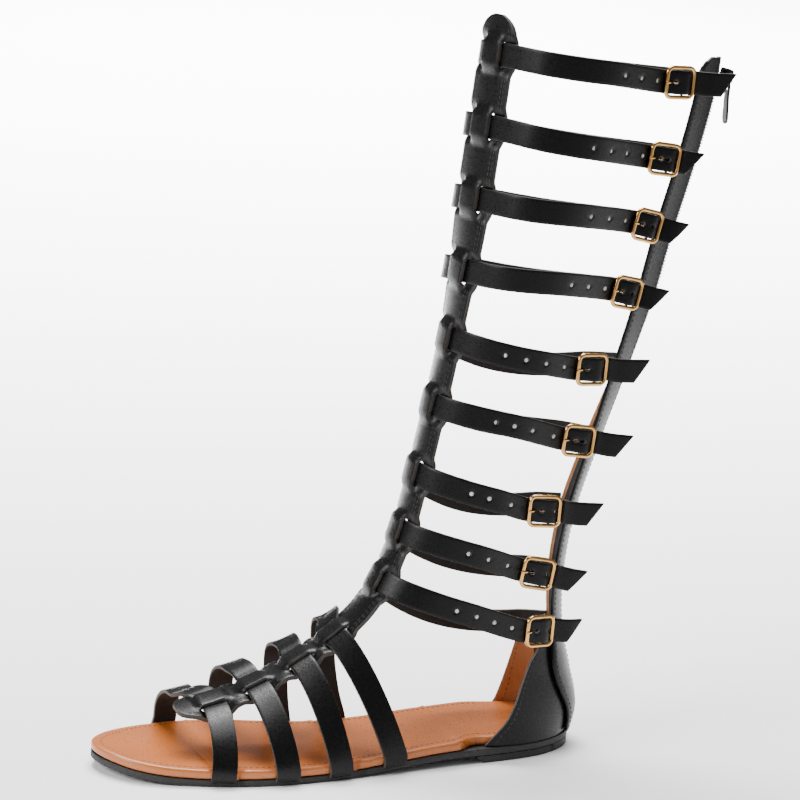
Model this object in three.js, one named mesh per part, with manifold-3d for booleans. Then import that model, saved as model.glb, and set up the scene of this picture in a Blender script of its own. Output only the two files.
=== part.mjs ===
// A knee-high gladiator sandal, left foot, European size 38, built with three.js and manifold-3d.
// Millimetres. x points to the outer side of the foot, y to the heel and z up.
// The origin is on the heel's flat ground face.
import * as THREE from "three";
import { mergeVertices } from "three/addons/utils/BufferGeometryUtils.js";
import Module from "manifold-3d";

const wasm = await Module();
wasm.setup();

// Driving dimensions
const SOLE_LENGTH = 255;
const HEEL_BACK = 28; // y of the sole's rear end
const OUTSOLE = 3.6; // outsole thickness
const BOARD = 4.8; // thickness of the wrapped footbed board
const HEEL_RISE = 4.2; // how far the heel block lifts the outsole
const TOE_SPRING = 4.8;
const GAP = 0.3; // between two pieces that touch
const LEATHER = 1.8; // strap thickness
const STRAP = 12; // width of a leg strap
const FOOT_STRAP = 12.4; // width of a foot strap
const SPINE = 25; // width of the front spine
const SPINE_BAND = 12; // width of the spine's middle band, between its slits
const SPINE_THICKNESS = 2.4;
const OUTER_STRIP = 17.5; // width of the back strip on the zip's outer side
const INNER_STRIP = 10.2; // and on its inner side
const TUCKED = 1.8; // how far strap ends run on under the back strips
const FRONT_TWIST = 17; // degrees that the shaft's front is turned outwards at the top
const FRONT_SHIFT = 5; // and how far it is moved there
const BUCKLE = { length: 18, height: 17, bar: 2, corner: 3.2, yaw: 2 };
// The short strap that holds a buckle: turned is the length behind the bar, clear what shows
// before the back strip.
const CARRIER = { width: 12, leather: 1.4, turned: 5, clear: 0.6 };
const SLIDER = { z: 349, length: 8, width: 7, plate: 2 };
const PULL = { length: 23, width: 4.6, thickness: 1.2 };

// Footbed outline: share of the length from the heel, and the widths to the inner and outer side.
const OUTLINE = [
  { t: 0.0, inner: 0.0, outer: 0.0 },
  { t: 0.02, inner: 15.0, outer: 14.0 },
  { t: 0.05, inner: 22.5, outer: 21.0 },
  { t: 0.1, inner: 28.5, outer: 27.5 },
  { t: 0.17, inner: 30.0, outer: 31.0 },
  { t: 0.3, inner: 26.0, outer: 33.5 },
  { t: 0.4, inner: 24.5, outer: 36.0 },
  { t: 0.5, inner: 27.5, outer: 38.5 },
  { t: 0.6, inner: 34.5, outer: 40.5 },
  { t: 0.7, inner: 42.5, outer: 40.0 },
  { t: 0.78, inner: 45.0, outer: 36.0 },
  { t: 0.85, inner: 42.8, outer: 30.5 },
  { t: 0.9, inner: 38.0, outer: 25.8 },
  { t: 0.95, inner: 29.4, outer: 17.4 },
  { t: 0.98, inner: 21.0, outer: 7.4 },
  { t: 1.0, inner: 8.3, outer: -8.3 },
];

// The shaft as slanted rings, heel to top. Each runs from a front height and y to a back height
// and y. Widths are to the outer and inner side, frontX is how far the front is turned outwards,
// and sharp says how pointed the outer side's back is. INNER_SHARP is the same for the inner side,
// whose back is blunt.
const INNER_SHARP = 0.42;
const RINGS = [
  { backZ: 7.0, backY: 25.2, frontZ: 7.0, frontY: -60.0, outer: 30.1, inner: 29.1, frontX: 0, sharp: 0.5 },
  { backZ: 20.0, backY: 28.6, frontZ: 30.0, frontY: -64.0, outer: 29.6, inner: 28.4, frontX: 0, sharp: 0.52 },
  { backZ: 40.0, backY: 24.4, frontZ: 60.0, frontY: -72.0, outer: 28.8, inner: 28.4, frontX: 0, sharp: 0.58 },
  { backZ: 60.7, backY: 19.6, frontZ: 91.9, frontY: -82.1, outer: 28.5, inner: 30.0, frontX: 0, sharp: 0.65 },
  { backZ: 88.9, backY: 18.1, frontZ: 117.8, frontY: -72.3, outer: 28.0, inner: 30.0, frontX: 0, sharp: 0.65 },
  { backZ: 124.0, backY: 22.8, frontZ: 147.4, frontY: -65.3, outer: 28.0, inner: 31.0, frontX: 0, sharp: 0.65 },
  { backZ: 159.3, backY: 34.3, frontZ: 182.8, frontY: -58.1, outer: 29.0, inner: 33.0, frontX: 0, sharp: 0.73 },
  { backZ: 197.6, backY: 49.2, frontZ: 217.2, frontY: -51.4, outer: 31.0, inner: 36.0, frontX: 1, sharp: 0.98 },
  { backZ: 233.8, backY: 62.3, frontZ: 251.9, frontY: -46.9, outer: 33.0, inner: 39.0, frontX: 3, sharp: 1.22 },
  { backZ: 268.7, backY: 71.2, frontZ: 288.2, frontY: -43.5, outer: 35.0, inner: 41.0, frontX: 5, sharp: 1.3 },
  { backZ: 303.5, backY: 81.0, frontZ: 324.7, frontY: -39.6, outer: 36.0, inner: 42.0, frontX: 5, sharp: 1.3 },
  { backZ: 342.7, backY: 90.0, frontZ: 360.6, frontY: -35.8, outer: 36.0, inner: 42.0, frontX: 5, sharp: 1.3 },
  { backZ: 362.0, backY: 92.2, frontZ: 380.0, frontY: -33.8, outer: 36.0, inner: 42.0, frontX: 5, sharp: 1.3 },
];

// Leg straps, top to bottom, each on the ring with its back height. outerRise and innerRise bend
// its two sides up, and loop lifts the inner side off the spine's margin. The buckle's middle
// stands at buckleX and buckleY. The strap there points yaw degrees inwards of straight back and
// fall degrees down, and its end reaches tail past the buckle's middle.
const LEG_STRAPS = [
  { backZ: 342.7, outerRise: 1.5, innerRise: -4.0, loop: 2.0, buckleX: 22, buckleY: 59.2, yaw: 6, fall: 3, tail: 31 },
  { backZ: 303.5, outerRise: 1.4, innerRise: -4.7, loop: 4.0, buckleX: 21, buckleY: 54.0, yaw: 0, fall: 8, tail: 20 },
  { backZ: 268.7, outerRise: 3.8, innerRise: -4.5, loop: 4.0, buckleX: 20, buckleY: 47.4, yaw: 10, fall: 14, tail: 23 },
  { backZ: 233.8, outerRise: 4.6, innerRise: -5.2, loop: 4.5, buckleX: 20, buckleY: 38.5, yaw: 8, fall: 13, tail: 23 },
  { backZ: 197.6, outerRise: -0.7, innerRise: -13, loop: 0.5, buckleX: 25, buckleY: 19.3, yaw: 3, fall: 3, tail: 31 },
  { backZ: 159.3, outerRise: 2.2, innerRise: -7.5, loop: 0.5, buckleX: 24, buckleY: 15.0, yaw: -3, fall: 7, tail: 28 },
  { backZ: 124.0, outerRise: -0.5, innerRise: -14, loop: 0.5, buckleX: 27, buckleY: -3.1, yaw: -8, fall: 3, tail: 30 },
  { backZ: 88.9, outerRise: 1.9, innerRise: -12, loop: 0.5, buckleX: 26, buckleY: -4.3, yaw: -8, fall: 10, tail: 25 },
  { backZ: 60.7, outerRise: -0.9, innerRise: -15.5, loop: 0.5, buckleX: 25, buckleY: -0.6, yaw: 12, fall: 4, tail: 24 },
];

// The spine over the foot, toe end first; roll lifts its inner edge, in degrees.
const SPINE_FOOT = [
  { y: -187, z: 30.0, roll: 9 },
  { y: -176, z: 31.3, roll: 9 },
  { y: -164, z: 34.0, roll: 6 },
  { y: -150, z: 39.0, roll: 2 },
  { y: -138, z: 44.3, roll: 0 },
  { y: -126, z: 50.8, roll: 0 },
  { y: -115.5, z: 57.0, roll: 0 },
  { y: -107, z: 62.7, roll: 0 },
  { y: -97, z: 70.8, roll: 0 },
  { y: -89.5, z: 79.0, roll: 0 },
];

// Foot straps, toe to ankle: y where they cross the spine and where they enter the sole, and the
// ridge of the loop that each makes over the inner side of the foot.
const FOOT_STRAPS = [
  { spineY: -168.5, outerY: -172.5, innerY: -178.0, ridgeY: -177.0, ridgeZ: 32.3 },
  { spineY: -146.0, outerY: -140.5, innerY: -147.0, ridgeY: -148.5, ridgeZ: 44.0 },
  { spineY: -123.5, outerY: -112.0, innerY: -119.0, ridgeY: -122.0, ridgeZ: 55.5 },
  { spineY: -105.0, outerY: -82.0, innerY: -91.0, ridgeY: -99.5, ridgeZ: 68.3 },
];

// Heel quarters: height, y of the front edge on the outer and inner side, and the arc from the
// middle of the back to the seam under the back strip. Each side ends under the lowest strap.
const QUARTER_TOP = { outer: 56.2, inner: 52.2 };
const QUARTER = [
  { z: 8.1, outerFront: -29.5, innerFront: -4.0, seam: 17.0 },
  { z: 12.0, outerFront: -26.0, innerFront: -1.0, seam: 18.0 },
  { z: 20.0, outerFront: -18.8, innerFront: 2.0, seam: 21.0 },
  { z: 30.0, outerFront: -13.6, innerFront: 4.6, seam: 25.0 },
  { z: 40.0, outerFront: -9.8, innerFront: 6.6, seam: 25.5 },
  { z: 50.0, outerFront: -4.8, innerFront: 8.4, seam: 23.0 },
  { z: 58.5, outerFront: 1.6, innerFront: 10.0, seam: 20.0 },
];

// Materials
const black = { color: 0x1b1b1d, roughness: 0.42, metalness: 0 };
const LOOKS = {
  leather: new THREE.MeshStandardMaterial(black),
  rubber: new THREE.MeshStandardMaterial({ color: 0x202022, roughness: 0.8, metalness: 0 }),
  footbed: new THREE.MeshStandardMaterial({ color: 0xc9824a, roughness: 0.45, metalness: 0 }),
  gold: new THREE.MeshStandardMaterial({ color: 0xd9b27c, roughness: 0.25, metalness: 1 }),
  steel: new THREE.MeshStandardMaterial({ color: 0x2e2e31, roughness: 0.35, metalness: 1 }),
  tape: new THREE.MeshStandardMaterial({ color: 0x18181a, roughness: 0.85, metalness: 0 }),
};

const sandal = new THREE.Group();
const V = (x, y, z) => new THREE.Vector3(x, y, z);
const radians = THREE.MathUtils.degToRad;

// Smooth interpolation of one column of a table over another column.
function column(rows, at, name) {
  const samples = rows.map((row) => row[name]);
  const curve = new THREE.CubicInterpolant(rows.map((row) => row[at]), samples, 1);
  return (value) => curve.evaluate(value)[0];
}

// A closed solid skinned over sections with equally many points. The ends are zigzags between
// the two long sides of a section, so that thin bent sections close well.
function loft(sections) {
  const count = sections[0].length;
  const positions = sections.flat().flatMap((p) => [p.x, p.y, p.z]);
  const faces = [];
  for (let i = 0; i + 1 < sections.length; i++)
    for (let j = 0; j < count; j++) {
      const a = i * count + j;
      const b = i * count + ((j + 1) % count);
      faces.push(a, b, b + count, a, b + count, a + count);
    }
  const last = (sections.length - 1) * count;
  const close = (a, b, c) => faces.push(a, c, b, last + a, last + b, last + c);
  for (let [i, k] = [0, count - 1]; i + 1 < k; k--) {
    close(i, i + 1, k);
    i++;
    if (i + 1 < k) close(i, k - 1, k);
  }
  const geometry = new THREE.BufferGeometry();
  geometry.setAttribute("position", new THREE.Float32BufferAttribute(positions, 3));
  geometry.setIndex(faces);
  return facingOut(geometry);
}

// The same geometry with its faces turned if they point inwards.
function facingOut(geometry) {
  const p = geometry.attributes.position;
  const index = geometry.index.array;
  let volume = 0;
  for (let i = 0; i < index.length; i += 3) {
    const [a, b, c] = [0, 1, 2].map((k) => V().fromBufferAttribute(p, index[i + k]));
    volume += a.dot(b.cross(c));
  }
  if (volume < 0)
    for (let i = 0; i < index.length; i += 3)
      [index[i + 1], index[i + 2]] = [index[i + 2], index[i + 1]];
  return geometry;
}

function solid(geometry) {
  const bare = geometry.clone();
  bare.deleteAttribute("normal");
  bare.deleteAttribute("uv");
  const merged = mergeVertices(bare, 1e-4);
  const triVerts = new Uint32Array(merged.index.array);
  const vertProperties = merged.attributes.position.array;
  return new wasm.Manifold(new wasm.Mesh({ numProp: 3, vertProperties, triVerts }));
}

function addPiece(name, shape, material) {
  let geometry = shape;
  if (!shape.isBufferGeometry) {
    const { vertProperties, triVerts } = shape.getMesh();
    geometry = new THREE.BufferGeometry();
    geometry.setAttribute("position", new THREE.BufferAttribute(vertProperties, 3));
    geometry.setIndex(new THREE.BufferAttribute(triVerts, 1));
  }
  const piece = new THREE.Mesh(geometry, material);
  piece.name = name;
  sandal.add(piece);
  return piece;
}

// A flat strap along points; each stop gives a point and the direction of the strap's width.
function strap(stops, width, thickness) {
  const sections = stops.map(({ point, across }, i) => {
    const before = stops[Math.max(i - 1, 0)].point;
    const after = stops[Math.min(i + 1, stops.length - 1)].point;
    const along = after.clone().sub(before).normalize();
    const side = across.clone().addScaledVector(along, -across.dot(along)).normalize();
    const out = along.clone().cross(side);
    const corner = (s, o) =>
      point.clone().addScaledVector(side, (s * width) / 2).addScaledVector(out, (o * thickness) / 2);
    return [corner(-1, -1), corner(1, -1), corner(1, 1), corner(-1, 1)];
  });
  return loft(sections);
}

// Sole
const angleRows = OUTLINE.map((row) => ({ ...row, angle: Math.acos(1 - 2 * row.t) }));
const outlineInner = column(angleRows, "angle", "inner");
const outlineOuter = column(angleRows, "angle", "outer");
const share = (y) => THREE.MathUtils.clamp((HEEL_BACK - y) / SOLE_LENGTH, 0, 1);
const halfWidth = (y, side) => {
  const angle = Math.acos(1 - 2 * share(y));
  return side > 0 ? outlineOuter(angle) : outlineInner(angle);
};

// Height of the outsole's underside: heel, waist, flat forefoot and toe spring.
const WAIST = { back: 0.27, front: 0.58 };
const SPRING_START = 0.8;
function lift(y) {
  const t = share(y);
  const heel = 1 - THREE.MathUtils.smoothstep(t, WAIST.back, WAIST.front);
  const toe = Math.max(0, (t - SPRING_START) / (1 - SPRING_START));
  return HEEL_RISE * heel + TOE_SPRING * toe * toe;
}

// A slab with the footbed's outline between two lengths. inset narrows it, round bevels its edges.
const NARROWEST = 1.2; // the least width of a slab's tip
function slab({ from, to, steps, bottom, top, inset, round }) {
  const sections = [];
  const first = Math.acos(1 - 2 * from);
  const final = Math.acos(1 - 2 * to);
  for (let i = 0; i <= steps; i++) {
    const t = (1 - Math.cos(THREE.MathUtils.lerp(first, final, i / steps))) / 2;
    const y = HEEL_BACK - t * SOLE_LENGTH;
    const left = -(halfWidth(y, -1) - inset(t, -1));
    const right = Math.max(halfWidth(y, 1) - inset(t, 1), left + NARROWEST);
    const [z0, z1] = [bottom(y), top(y)];
    const r = Math.min(round, (right - left) / 4);
    sections.push([
      V(left + r, y, z0), V(right - r, y, z0), V(right, y, z0 + r), V(right, y, z1 - r),
      V(right - r, y, z1), V(left + r, y, z1), V(left, y, z1 - r), V(left, y, z0 + r),
    ]);
  }
  return loft(sections);
}

const ENDS = { from: 0.0006, to: 0.9994 };
const HEEL_END = { ground: 0.229, top: 0.246, tip: 0.9 }; // the breast slants to a thin tip
const outsole = solid(slab({
  ...ENDS, steps: 42, round: 0.5, inset: () => 0,
  bottom: lift, top: (y) => lift(y) + OUTSOLE,
}));

const breastY = HEEL_BACK - HEEL_END.ground * SOLE_LENGTH;
const breastRun = (HEEL_END.top - HEEL_END.ground) * SOLE_LENGTH;
const heel = slab({
  from: 0.0025, to: HEEL_END.top, steps: 20, round: 0.3, inset: () => 0.5,
  bottom: (y) => Math.max(0, ((breastY - y) / breastRun) * (HEEL_RISE - GAP - HEEL_END.tip)),
  top: () => HEEL_RISE - GAP,
});

// Shaft surface: a slanted ring for each back height.
const ringColumn = Object.fromEntries(
  ["backY", "frontZ", "frontY", "outer", "inner", "frontX", "sharp"].map((name) => [
    name,
    column(RINGS, "backZ", name),
  ]),
);

const TURN_FADE = 12; // how fast the turn of the front fades along a ring

// A point of a ring: u runs from 0 at the front to 1 at the back, side is 1 outside, -1 inside.
function ringPoint(backZ, u, side, rise = 0) {
  const sharp = side > 0 ? ringColumn.sharp(backZ) : INNER_SHARP;
  const widest = 0.5 / (0.5 + sharp);
  const swell = (v) => Math.sqrt(v) * (1 - v) ** sharp;
  const width = side > 0 ? ringColumn.outer(backZ) : ringColumn.inner(backZ);
  const [frontX, frontY, frontZ] = ["frontX", "frontY", "frontZ"].map((k) => ringColumn[k](backZ));
  const out = (side * width * swell(u)) / swell(widest);
  const turned = Math.tan(radians(FRONT_TWIST * (frontX / FRONT_SHIFT))) * Math.exp(-TURN_FADE * u);
  return V(
    frontX * (1 - u) + out,
    frontY + (ringColumn.backY(backZ) - frontY) * u + out * turned,
    frontZ + (backZ - frontZ) * u + rise * 4 * u * (1 - u),
  );
}

// The point of the shaft at a true height, found by trying rings.
const TRIES = 12;
const NEAREST = 0.02; // the least u that is tried
function shaftPoint(y, z, side) {
  let level = z;
  let u = 0;
  for (let i = 0; i < TRIES; i++) {
    const frontY = ringColumn.frontY(level);
    u = THREE.MathUtils.clamp((y - frontY) / (ringColumn.backY(level) - frontY), NEAREST, 1);
    level = z - (ringColumn.frontZ(level) - level) * (1 - u);
  }
  const point = ringPoint(level, u, side);
  return V(point.x, y, z);
}

// u of the point that lies a given arc from the middle of the back.
const ARC_STEP = 0.002;
const ARC_END = 0.05;
function backArc(backZ, arc, side) {
  let [u, gone] = [1, 0];
  let last = ringPoint(backZ, u, side);
  while (gone < arc && u > ARC_END) {
    u -= ARC_STEP;
    const next = ringPoint(backZ, u, side);
    gone += next.distanceTo(last);
    last = next;
  }
  return u;
}

const backDirection = (backZ) =>
  ringPoint(backZ + 2, 1, 1).sub(ringPoint(backZ - 2, 1, 1)).normalize();

// The board stands back from the outline where the quarters wrap round it.
const BOARD_SEAT = OUTSOLE + 0.2;
const BOARD_BACK = 0.029; // share of the length where the board begins
const BOARD_STEP = { from: 4.5, to: 0.5 }; // before a quarter's front edge, where it steps back
const boardInset = (t, side) => {
  const y = HEEL_BACK - t * SOLE_LENGTH;
  const wall = (v) => Math.abs(shaftPoint(v, QUARTER[0].z, side).x);
  const slope = wall(y + 0.5) - wall(y - 0.5);
  const inside = wall(y) - (LEATHER / 2 + 2 * GAP) * Math.hypot(1, slope);
  const front = side > 0 ? QUARTER[0].outerFront : QUARTER[0].innerFront;
  const wrapped = THREE.MathUtils.smoothstep(y, front - BOARD_STEP.from, front - BOARD_STEP.to);
  return Math.max(0, halfWidth(y, side) - inside) * wrapped;
};
const board = slab({
  from: BOARD_BACK, to: ENDS.to, steps: 46, round: 1.3, inset: boardInset,
  bottom: (y) => lift(y) + BOARD_SEAT, top: (y) => lift(y) + BOARD_SEAT + BOARD,
});

// Back strips: the arc to their front edge and how far they stand off the shaft
const seamArc = column(QUARTER, "z", "seam");
const STRIP_TOP = 358;
const ZIP_HALF = 2; // half the opening between the strips
const STRIP_OFF = LEATHER + 2 * GAP;

// Spine centre line and frames
const spineRows = [
  ...SPINE_FOOT.map((row) => ({ x: 0, ...row })),
  ...RINGS.slice(3).map((row) => ({ x: row.frontX, y: row.frontY, z: row.frontZ, roll: 0 })),
];
const spineCurve = new THREE.CatmullRomCurve3(spineRows.map((row) => V(row.x, row.y, row.z)));
const TWIST = { from: 215, to: 300 };

function spineFrame(s) {
  const point = spineCurve.getPointAt(s);
  const along = spineCurve.getTangentAt(s);
  const turn = radians(FRONT_TWIST) * THREE.MathUtils.smoothstep(point.z, TWIST.from, TWIST.to);
  const roll = radians(spineRoll(point.y, point.z));
  const raw = V(Math.cos(turn) * Math.cos(roll), Math.sin(turn), -Math.sin(roll));
  const across = raw.addScaledVector(along, -raw.dot(along)).normalize();
  return { point, along, across, out: across.clone().cross(along).normalize() };
}

function spineRoll(y, z) {
  return z > SPINE_FOOT.at(-1).z ? 0 : Math.max(0, column(SPINE_FOOT, "y", "roll")(y));
}

// Share of the spine's length at which a test of its point first holds.
const SHARE_STEP = 0.0005;
function spineAt(reached) {
  let s = 0;
  while (s < 1 && !reached(spineCurve.getPointAt(s))) s += SHARE_STEP;
  return Math.min(s, 1);
}

const crossings = [
  ...FOOT_STRAPS.map((row) => spineAt((p) => p.y >= row.spineY)),
  ...LEG_STRAPS.map((row) => spineAt((p) => p.z >= ringColumn.frontZ(row.backZ))),
];
const spineLength = spineCurve.getLength();
const BUMP = { height: 2.2, reach: 11 }; // the middle band's rise over a strap
const CROWN = { foot: 60, ankle: 22, top: 46 }; // radius across the spine
const CROWN_ANKLE = [60, 100]; // heights between which it changes
const CROWN_LEG = [180, 260];

function crownRadius(z) {
  const up = THREE.MathUtils.smoothstep(z, ...CROWN_ANKLE);
  const over = THREE.MathUtils.smoothstep(z, ...CROWN_LEG);
  return THREE.MathUtils.lerp(THREE.MathUtils.lerp(CROWN.foot, CROWN.ankle, up), CROWN.top, over);
}

function spineBump(s) {
  const nearest = Math.min(...crossings.map((c) => Math.abs(c - s) * spineLength));
  return BUMP.height * (1 - THREE.MathUtils.smoothstep(nearest, STRAP / 2 - 1, BUMP.reach));
}

// Half-width along the spine: pointed at the toe end and round at the top. Each end starts with a
// share of the width and reaches the whole within its run.
const TOE_END = { share: 0.3, run: 14 };
const TOP_END = { share: 0.25, run: 11 };
const ending = ({ share, run }, length) =>
  Math.min(1, THREE.MathUtils.lerp(share, 1, Math.sqrt(length / run)));
function spineHalf(s) {
  const toe = ending(TOE_END, s * spineLength);
  const top = ending(TOP_END, (1 - s) * spineLength);
  return (SPINE / 2) * Math.min(toe, top);
}

const SPINE_STEPS = 60;
const BAND_SHARE = 0.6; // the middle band's share of the width at the narrow ends
const spineSections = [];
for (let i = 0; i <= SPINE_STEPS; i++) {
  const s = i / SPINE_STEPS;
  const { point, across, out } = spineFrame(s);
  const half = spineHalf(s);
  const bump = spineBump(s);
  const crown = (w) => -(w * w) / (2 * crownRadius(point.z));
  const inner = Math.min(SPINE_BAND / 2, half * BAND_SHARE);
  const at = (w, h) =>
    point.clone().addScaledVector(across, w).addScaledVector(out, h + crown(w));
  const t = SPINE_THICKNESS / 2;
  spineSections.push([
    at(-half, -t), at(-inner, -t), at(inner, -t), at(half, -t),
    at(half, t), at(inner, t + bump), at(-inner, t + bump), at(-half, t),
  ]);
}
let upper = solid(loft(spineSections));

// Leg straps: the tail, the outer side, the crossing at the front, and the inner side.
const BUCKLE_STEPS = 9;
const ROUND_STEPS = 24;
const FRONT_STEPS = [0.002, 0.012, 0.04, 0.09, 0.17, 0.28, 0.4];
const INNER_STEPS = [0.012, 0.035, 0.07, 0.12, 0.18, 0.27, 0.38, 0.5, 0.62, 0.73, 0.83, 0.9];
const BAR_REACH = (BUCKLE.length - BUCKLE.bar) / 2; // from the buckle's middle to its bars
const BAR_DEPTH = BAR_REACH * Math.tan(radians(BUCKLE.yaw));
const BAR_CORNER = BUCKLE.bar * Math.SQRT1_2; // from a bar's middle to its corner
const ROOM = 0.75; // left between a buckle's bars and the leather bent over them
const LEVEL = { before: 2, behind: 3 }; // how far the strap runs level beyond the bars
const WRAP = BAR_CORNER + ROOM + CARRIER.leather / 2; // radius of the carrier's turn round the bar
const FRONT_SIDE = BAR_CORNER + ROOM + LEATHER / 2 - BAR_DEPTH;
const HINGE_SIDE = WRAP + CARRIER.leather / 2 + ROOM + LEATHER / 2 - BAR_DEPTH;

// The buckle's middle and the strap's directions there. Its width stands between the direction up
// the back and the vertical.
const UPRIGHT = 0.4;
function buckleSeat(row) {
  const frontY = ringColumn.frontY(row.backZ);
  const u = (row.buckleY - frontY) / (ringColumn.backY(row.backZ) - frontY);
  const z = ringPoint(row.backZ, u, 1, row.outerRise).z;
  const yaw = radians(row.yaw);
  const along = V(-Math.sin(yaw), Math.cos(yaw), -Math.tan(radians(row.fall))).normalize();
  const up = backDirection(row.backZ).lerp(V(0, 0, 1), UPRIGHT);
  const across = up.addScaledVector(along, -up.dot(along)).normalize();
  return {
    centre: V(row.buckleX, row.buckleY, z),
    along,
    across,
    out: along.clone().cross(across).normalize(),
  };
}

// Where on a ring the inner side's loop stands off, over what share, and how much of it sideways.
const LOOP = { at: 0.05, spread: 0.06, sideways: 0.35 };

function legStrap(row, index) {
  const seat = buckleSeat(row);
  const past = (distance, off) =>
    seat.centre.clone().addScaledVector(seat.along, distance).addScaledVector(seat.out, off);
  const outside = [
    past(row.tail, HINGE_SIDE),
    past(BAR_REACH + LEVEL.behind, HINGE_SIDE),
    past(BAR_REACH, HINGE_SIDE),
    past(-BAR_REACH, -FRONT_SIDE),
    past(-BAR_REACH - LEVEL.before, -FRONT_SIDE),
    ...[...FRONT_STEPS].reverse().map((u) => ringPoint(row.backZ, u, 1, row.outerRise)),
  ];
  const inside = INNER_STEPS.map((u) => {
    const stand = row.loop * Math.exp(-(((u - LOOP.at) / LOOP.spread) ** 2));
    return ringPoint(row.backZ, u, -1, row.innerRise).add(V(-stand * LOOP.sideways, -stand, 0));
  });
  inside.push(ringPoint(row.backZ, backArc(row.backZ, INNER_STRIP - TUCKED, -1), -1, row.innerRise));
  const curve = new THREE.CatmullRomCurve3([...outside, ...inside], false, "centripetal");
  const length = curve.getLength();
  const near = (row.tail + BAR_REACH + 4) / length; // the part with the buckle has finer steps
  const shares = [
    ...Array.from({ length: BUCKLE_STEPS }, (_, i) => (near * i) / BUCKLE_STEPS),
    ...Array.from({ length: ROUND_STEPS + 1 }, (_, i) => near + ((1 - near) * i) / ROUND_STEPS),
  ];
  const front = spineFrame(crossings[FOOT_STRAPS.length + index]).along;
  const back = seat.across;
  const innerBack = backDirection(row.backZ);
  const frontY = ringColumn.frontY(row.backZ);
  const stops = shares.map((share) => {
    const point = curve.getPointAt(share);
    const u = THREE.MathUtils.clamp((point.y - frontY) / (seat.centre.y - frontY), 0, 1);
    const rear = share < 0.5 ? back : innerBack;
    return { point, across: front.clone().lerp(rear, u) };
  });
  return strap(stops, STRAP, LEATHER);
}

// A point in the turned frame of a buckle: along the strap, outwards and across.
function framePoint(seat, a, o, c = 0) {
  const yaw = radians(BUCKLE.yaw);
  return seat.centre.clone()
    .addScaledVector(seat.along, a * Math.cos(yaw) + o * Math.sin(yaw))
    .addScaledVector(seat.out, o * Math.cos(yaw) - a * Math.sin(yaw))
    .addScaledVector(seat.across, c);
}

// The prong runs under the strap from the hinge bar, up through a hole and onto the front bar.
const PRONG = { width: 1.5, thickness: 1.2 };
const PRONG_PATH = [[8, -1.2], [4.5, -2.0], [-2.2, -2.0], [-5.4, 0.2], [-9.6, 1.9]];

function prong(seat, room) {
  const stops = PRONG_PATH.map(([a, o], i) => ({
    point: framePoint(seat, i === 0 ? a + 2 * room : a, o),
    across: seat.across,
  }));
  return solid(strap(stops, PRONG.width + 2 * room, PRONG.thickness + 2 * room));
}

function buckle(seat) {
  const { length, height, bar, corner } = BUCKLE;
  const rounded = (path, l, h, r) => {
    const [x, y] = [l / 2, h / 2];
    path.moveTo(-x + r, -y);
    path.lineTo(x - r, -y).absarc(x - r, -y + r, r, -Math.PI / 2, 0);
    path.lineTo(x, y - r).absarc(x - r, y - r, r, 0, Math.PI / 2);
    path.lineTo(-x + r, y).absarc(-x + r, y - r, r, Math.PI / 2, Math.PI);
    path.lineTo(-x, -y + r).absarc(-x + r, -y + r, r, Math.PI, Math.PI * 1.5);
    return path;
  };
  const shape = rounded(new THREE.Shape(), length, height, corner);
  shape.holes.push(rounded(new THREE.Path(), length - 2 * bar, height - 2 * bar, corner - bar));
  const frame = new THREE.ExtrudeGeometry(shape, { depth: bar, bevelEnabled: false, curveSegments: 2 });
  const axes = [framePoint(seat, 1, 0), framePoint(seat, 0, 0, 1), framePoint(seat, 0, 1)];
  const basis = new THREE.Matrix4().makeBasis(...axes.map((p) => p.sub(seat.centre)));
  frame.translate(0, 0, -bar / 2).applyMatrix4(basis.setPosition(seat.centre));
  return solid(frame).add(prong(seat, 0));
}

// The diagonal cut that shortens the lower corner of a strap's end. The cutter passes the strap's
// edges and faces by its margins.
const CUT = 8;
const CUTTER = { slant: 0.7, below: 1, above: 1.5, beyond: 1, faces: 3 };
function tailCut(row, seat) {
  const corner = (a, c, o) =>
    seat.centre.clone()
      .addScaledVector(seat.along, row.tail + a)
      .addScaledVector(seat.across, c)
      .addScaledVector(seat.out, HINGE_SIDE + o);
  const [low, high] = [-STRAP / 2 - CUTTER.below, STRAP / 2 + CUTTER.above];
  const face = (o) => [[-CUT - CUTTER.slant, low], [CUTTER.beyond, low], [CUTTER.beyond, high]]
    .map(([a, c]) => corner(a, c, o));
  return solid(loft([face(-CUTTER.faces), face(CUTTER.faces)]));
}

const seats = LEG_STRAPS.map(buckleSeat);
LEG_STRAPS.forEach((row, index) => {
  const whole = solid(legStrap(row, index));
  const cut = whole.subtract(tailCut(row, seats[index])).subtract(prong(seats[index], GAP));
  upper = upper.add(cut);
});

// The carrier: from under the back strip, over the hinge bar, round it and back inside.
function carrier(row, seat) {
  const bar = (angle) =>
    framePoint(seat, BAR_REACH - WRAP * Math.sin(angle), WRAP * Math.cos(angle));
  const under = (arc) => ringPoint(row.backZ, backArc(row.backZ, arc, 1), 1, row.outerRise);
  const edge = Math.max(OUTER_STRIP, stripArc(row.backZ - CARRIER.width / 2, 1));
  const hidden = under(edge - TUCKED);
  const rim = under(edge + CARRIER.clear);
  const hinge = framePoint(seat, BAR_REACH, 0);
  const toRim = rim.clone().sub(hinge);
  const rear = toRim.dot(framePoint(seat, 1, 0).sub(seat.centre));
  const outward = toRim.dot(framePoint(seat, 0, 1).sub(seat.centre));
  const touch = Math.acos(WRAP / Math.hypot(rear, outward)) - Math.atan2(rear, outward);
  const turn = [0, 0.25, 0.5, 0.75, 1].map((k) => bar(touch + k * Math.PI));
  const turned = rim.clone().sub(turn[0]).setLength(CARRIER.turned).add(turn.at(-1));
  const path = [hidden, rim, ...turn, turned];
  const back = backDirection(row.backZ);
  const stops = path.map((point, i) => ({ point, across: i < 2 ? back : seat.across }));
  return solid(strap(stops, CARRIER.width, CARRIER.leather)).subtract(prong(seat, GAP));
}

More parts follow.
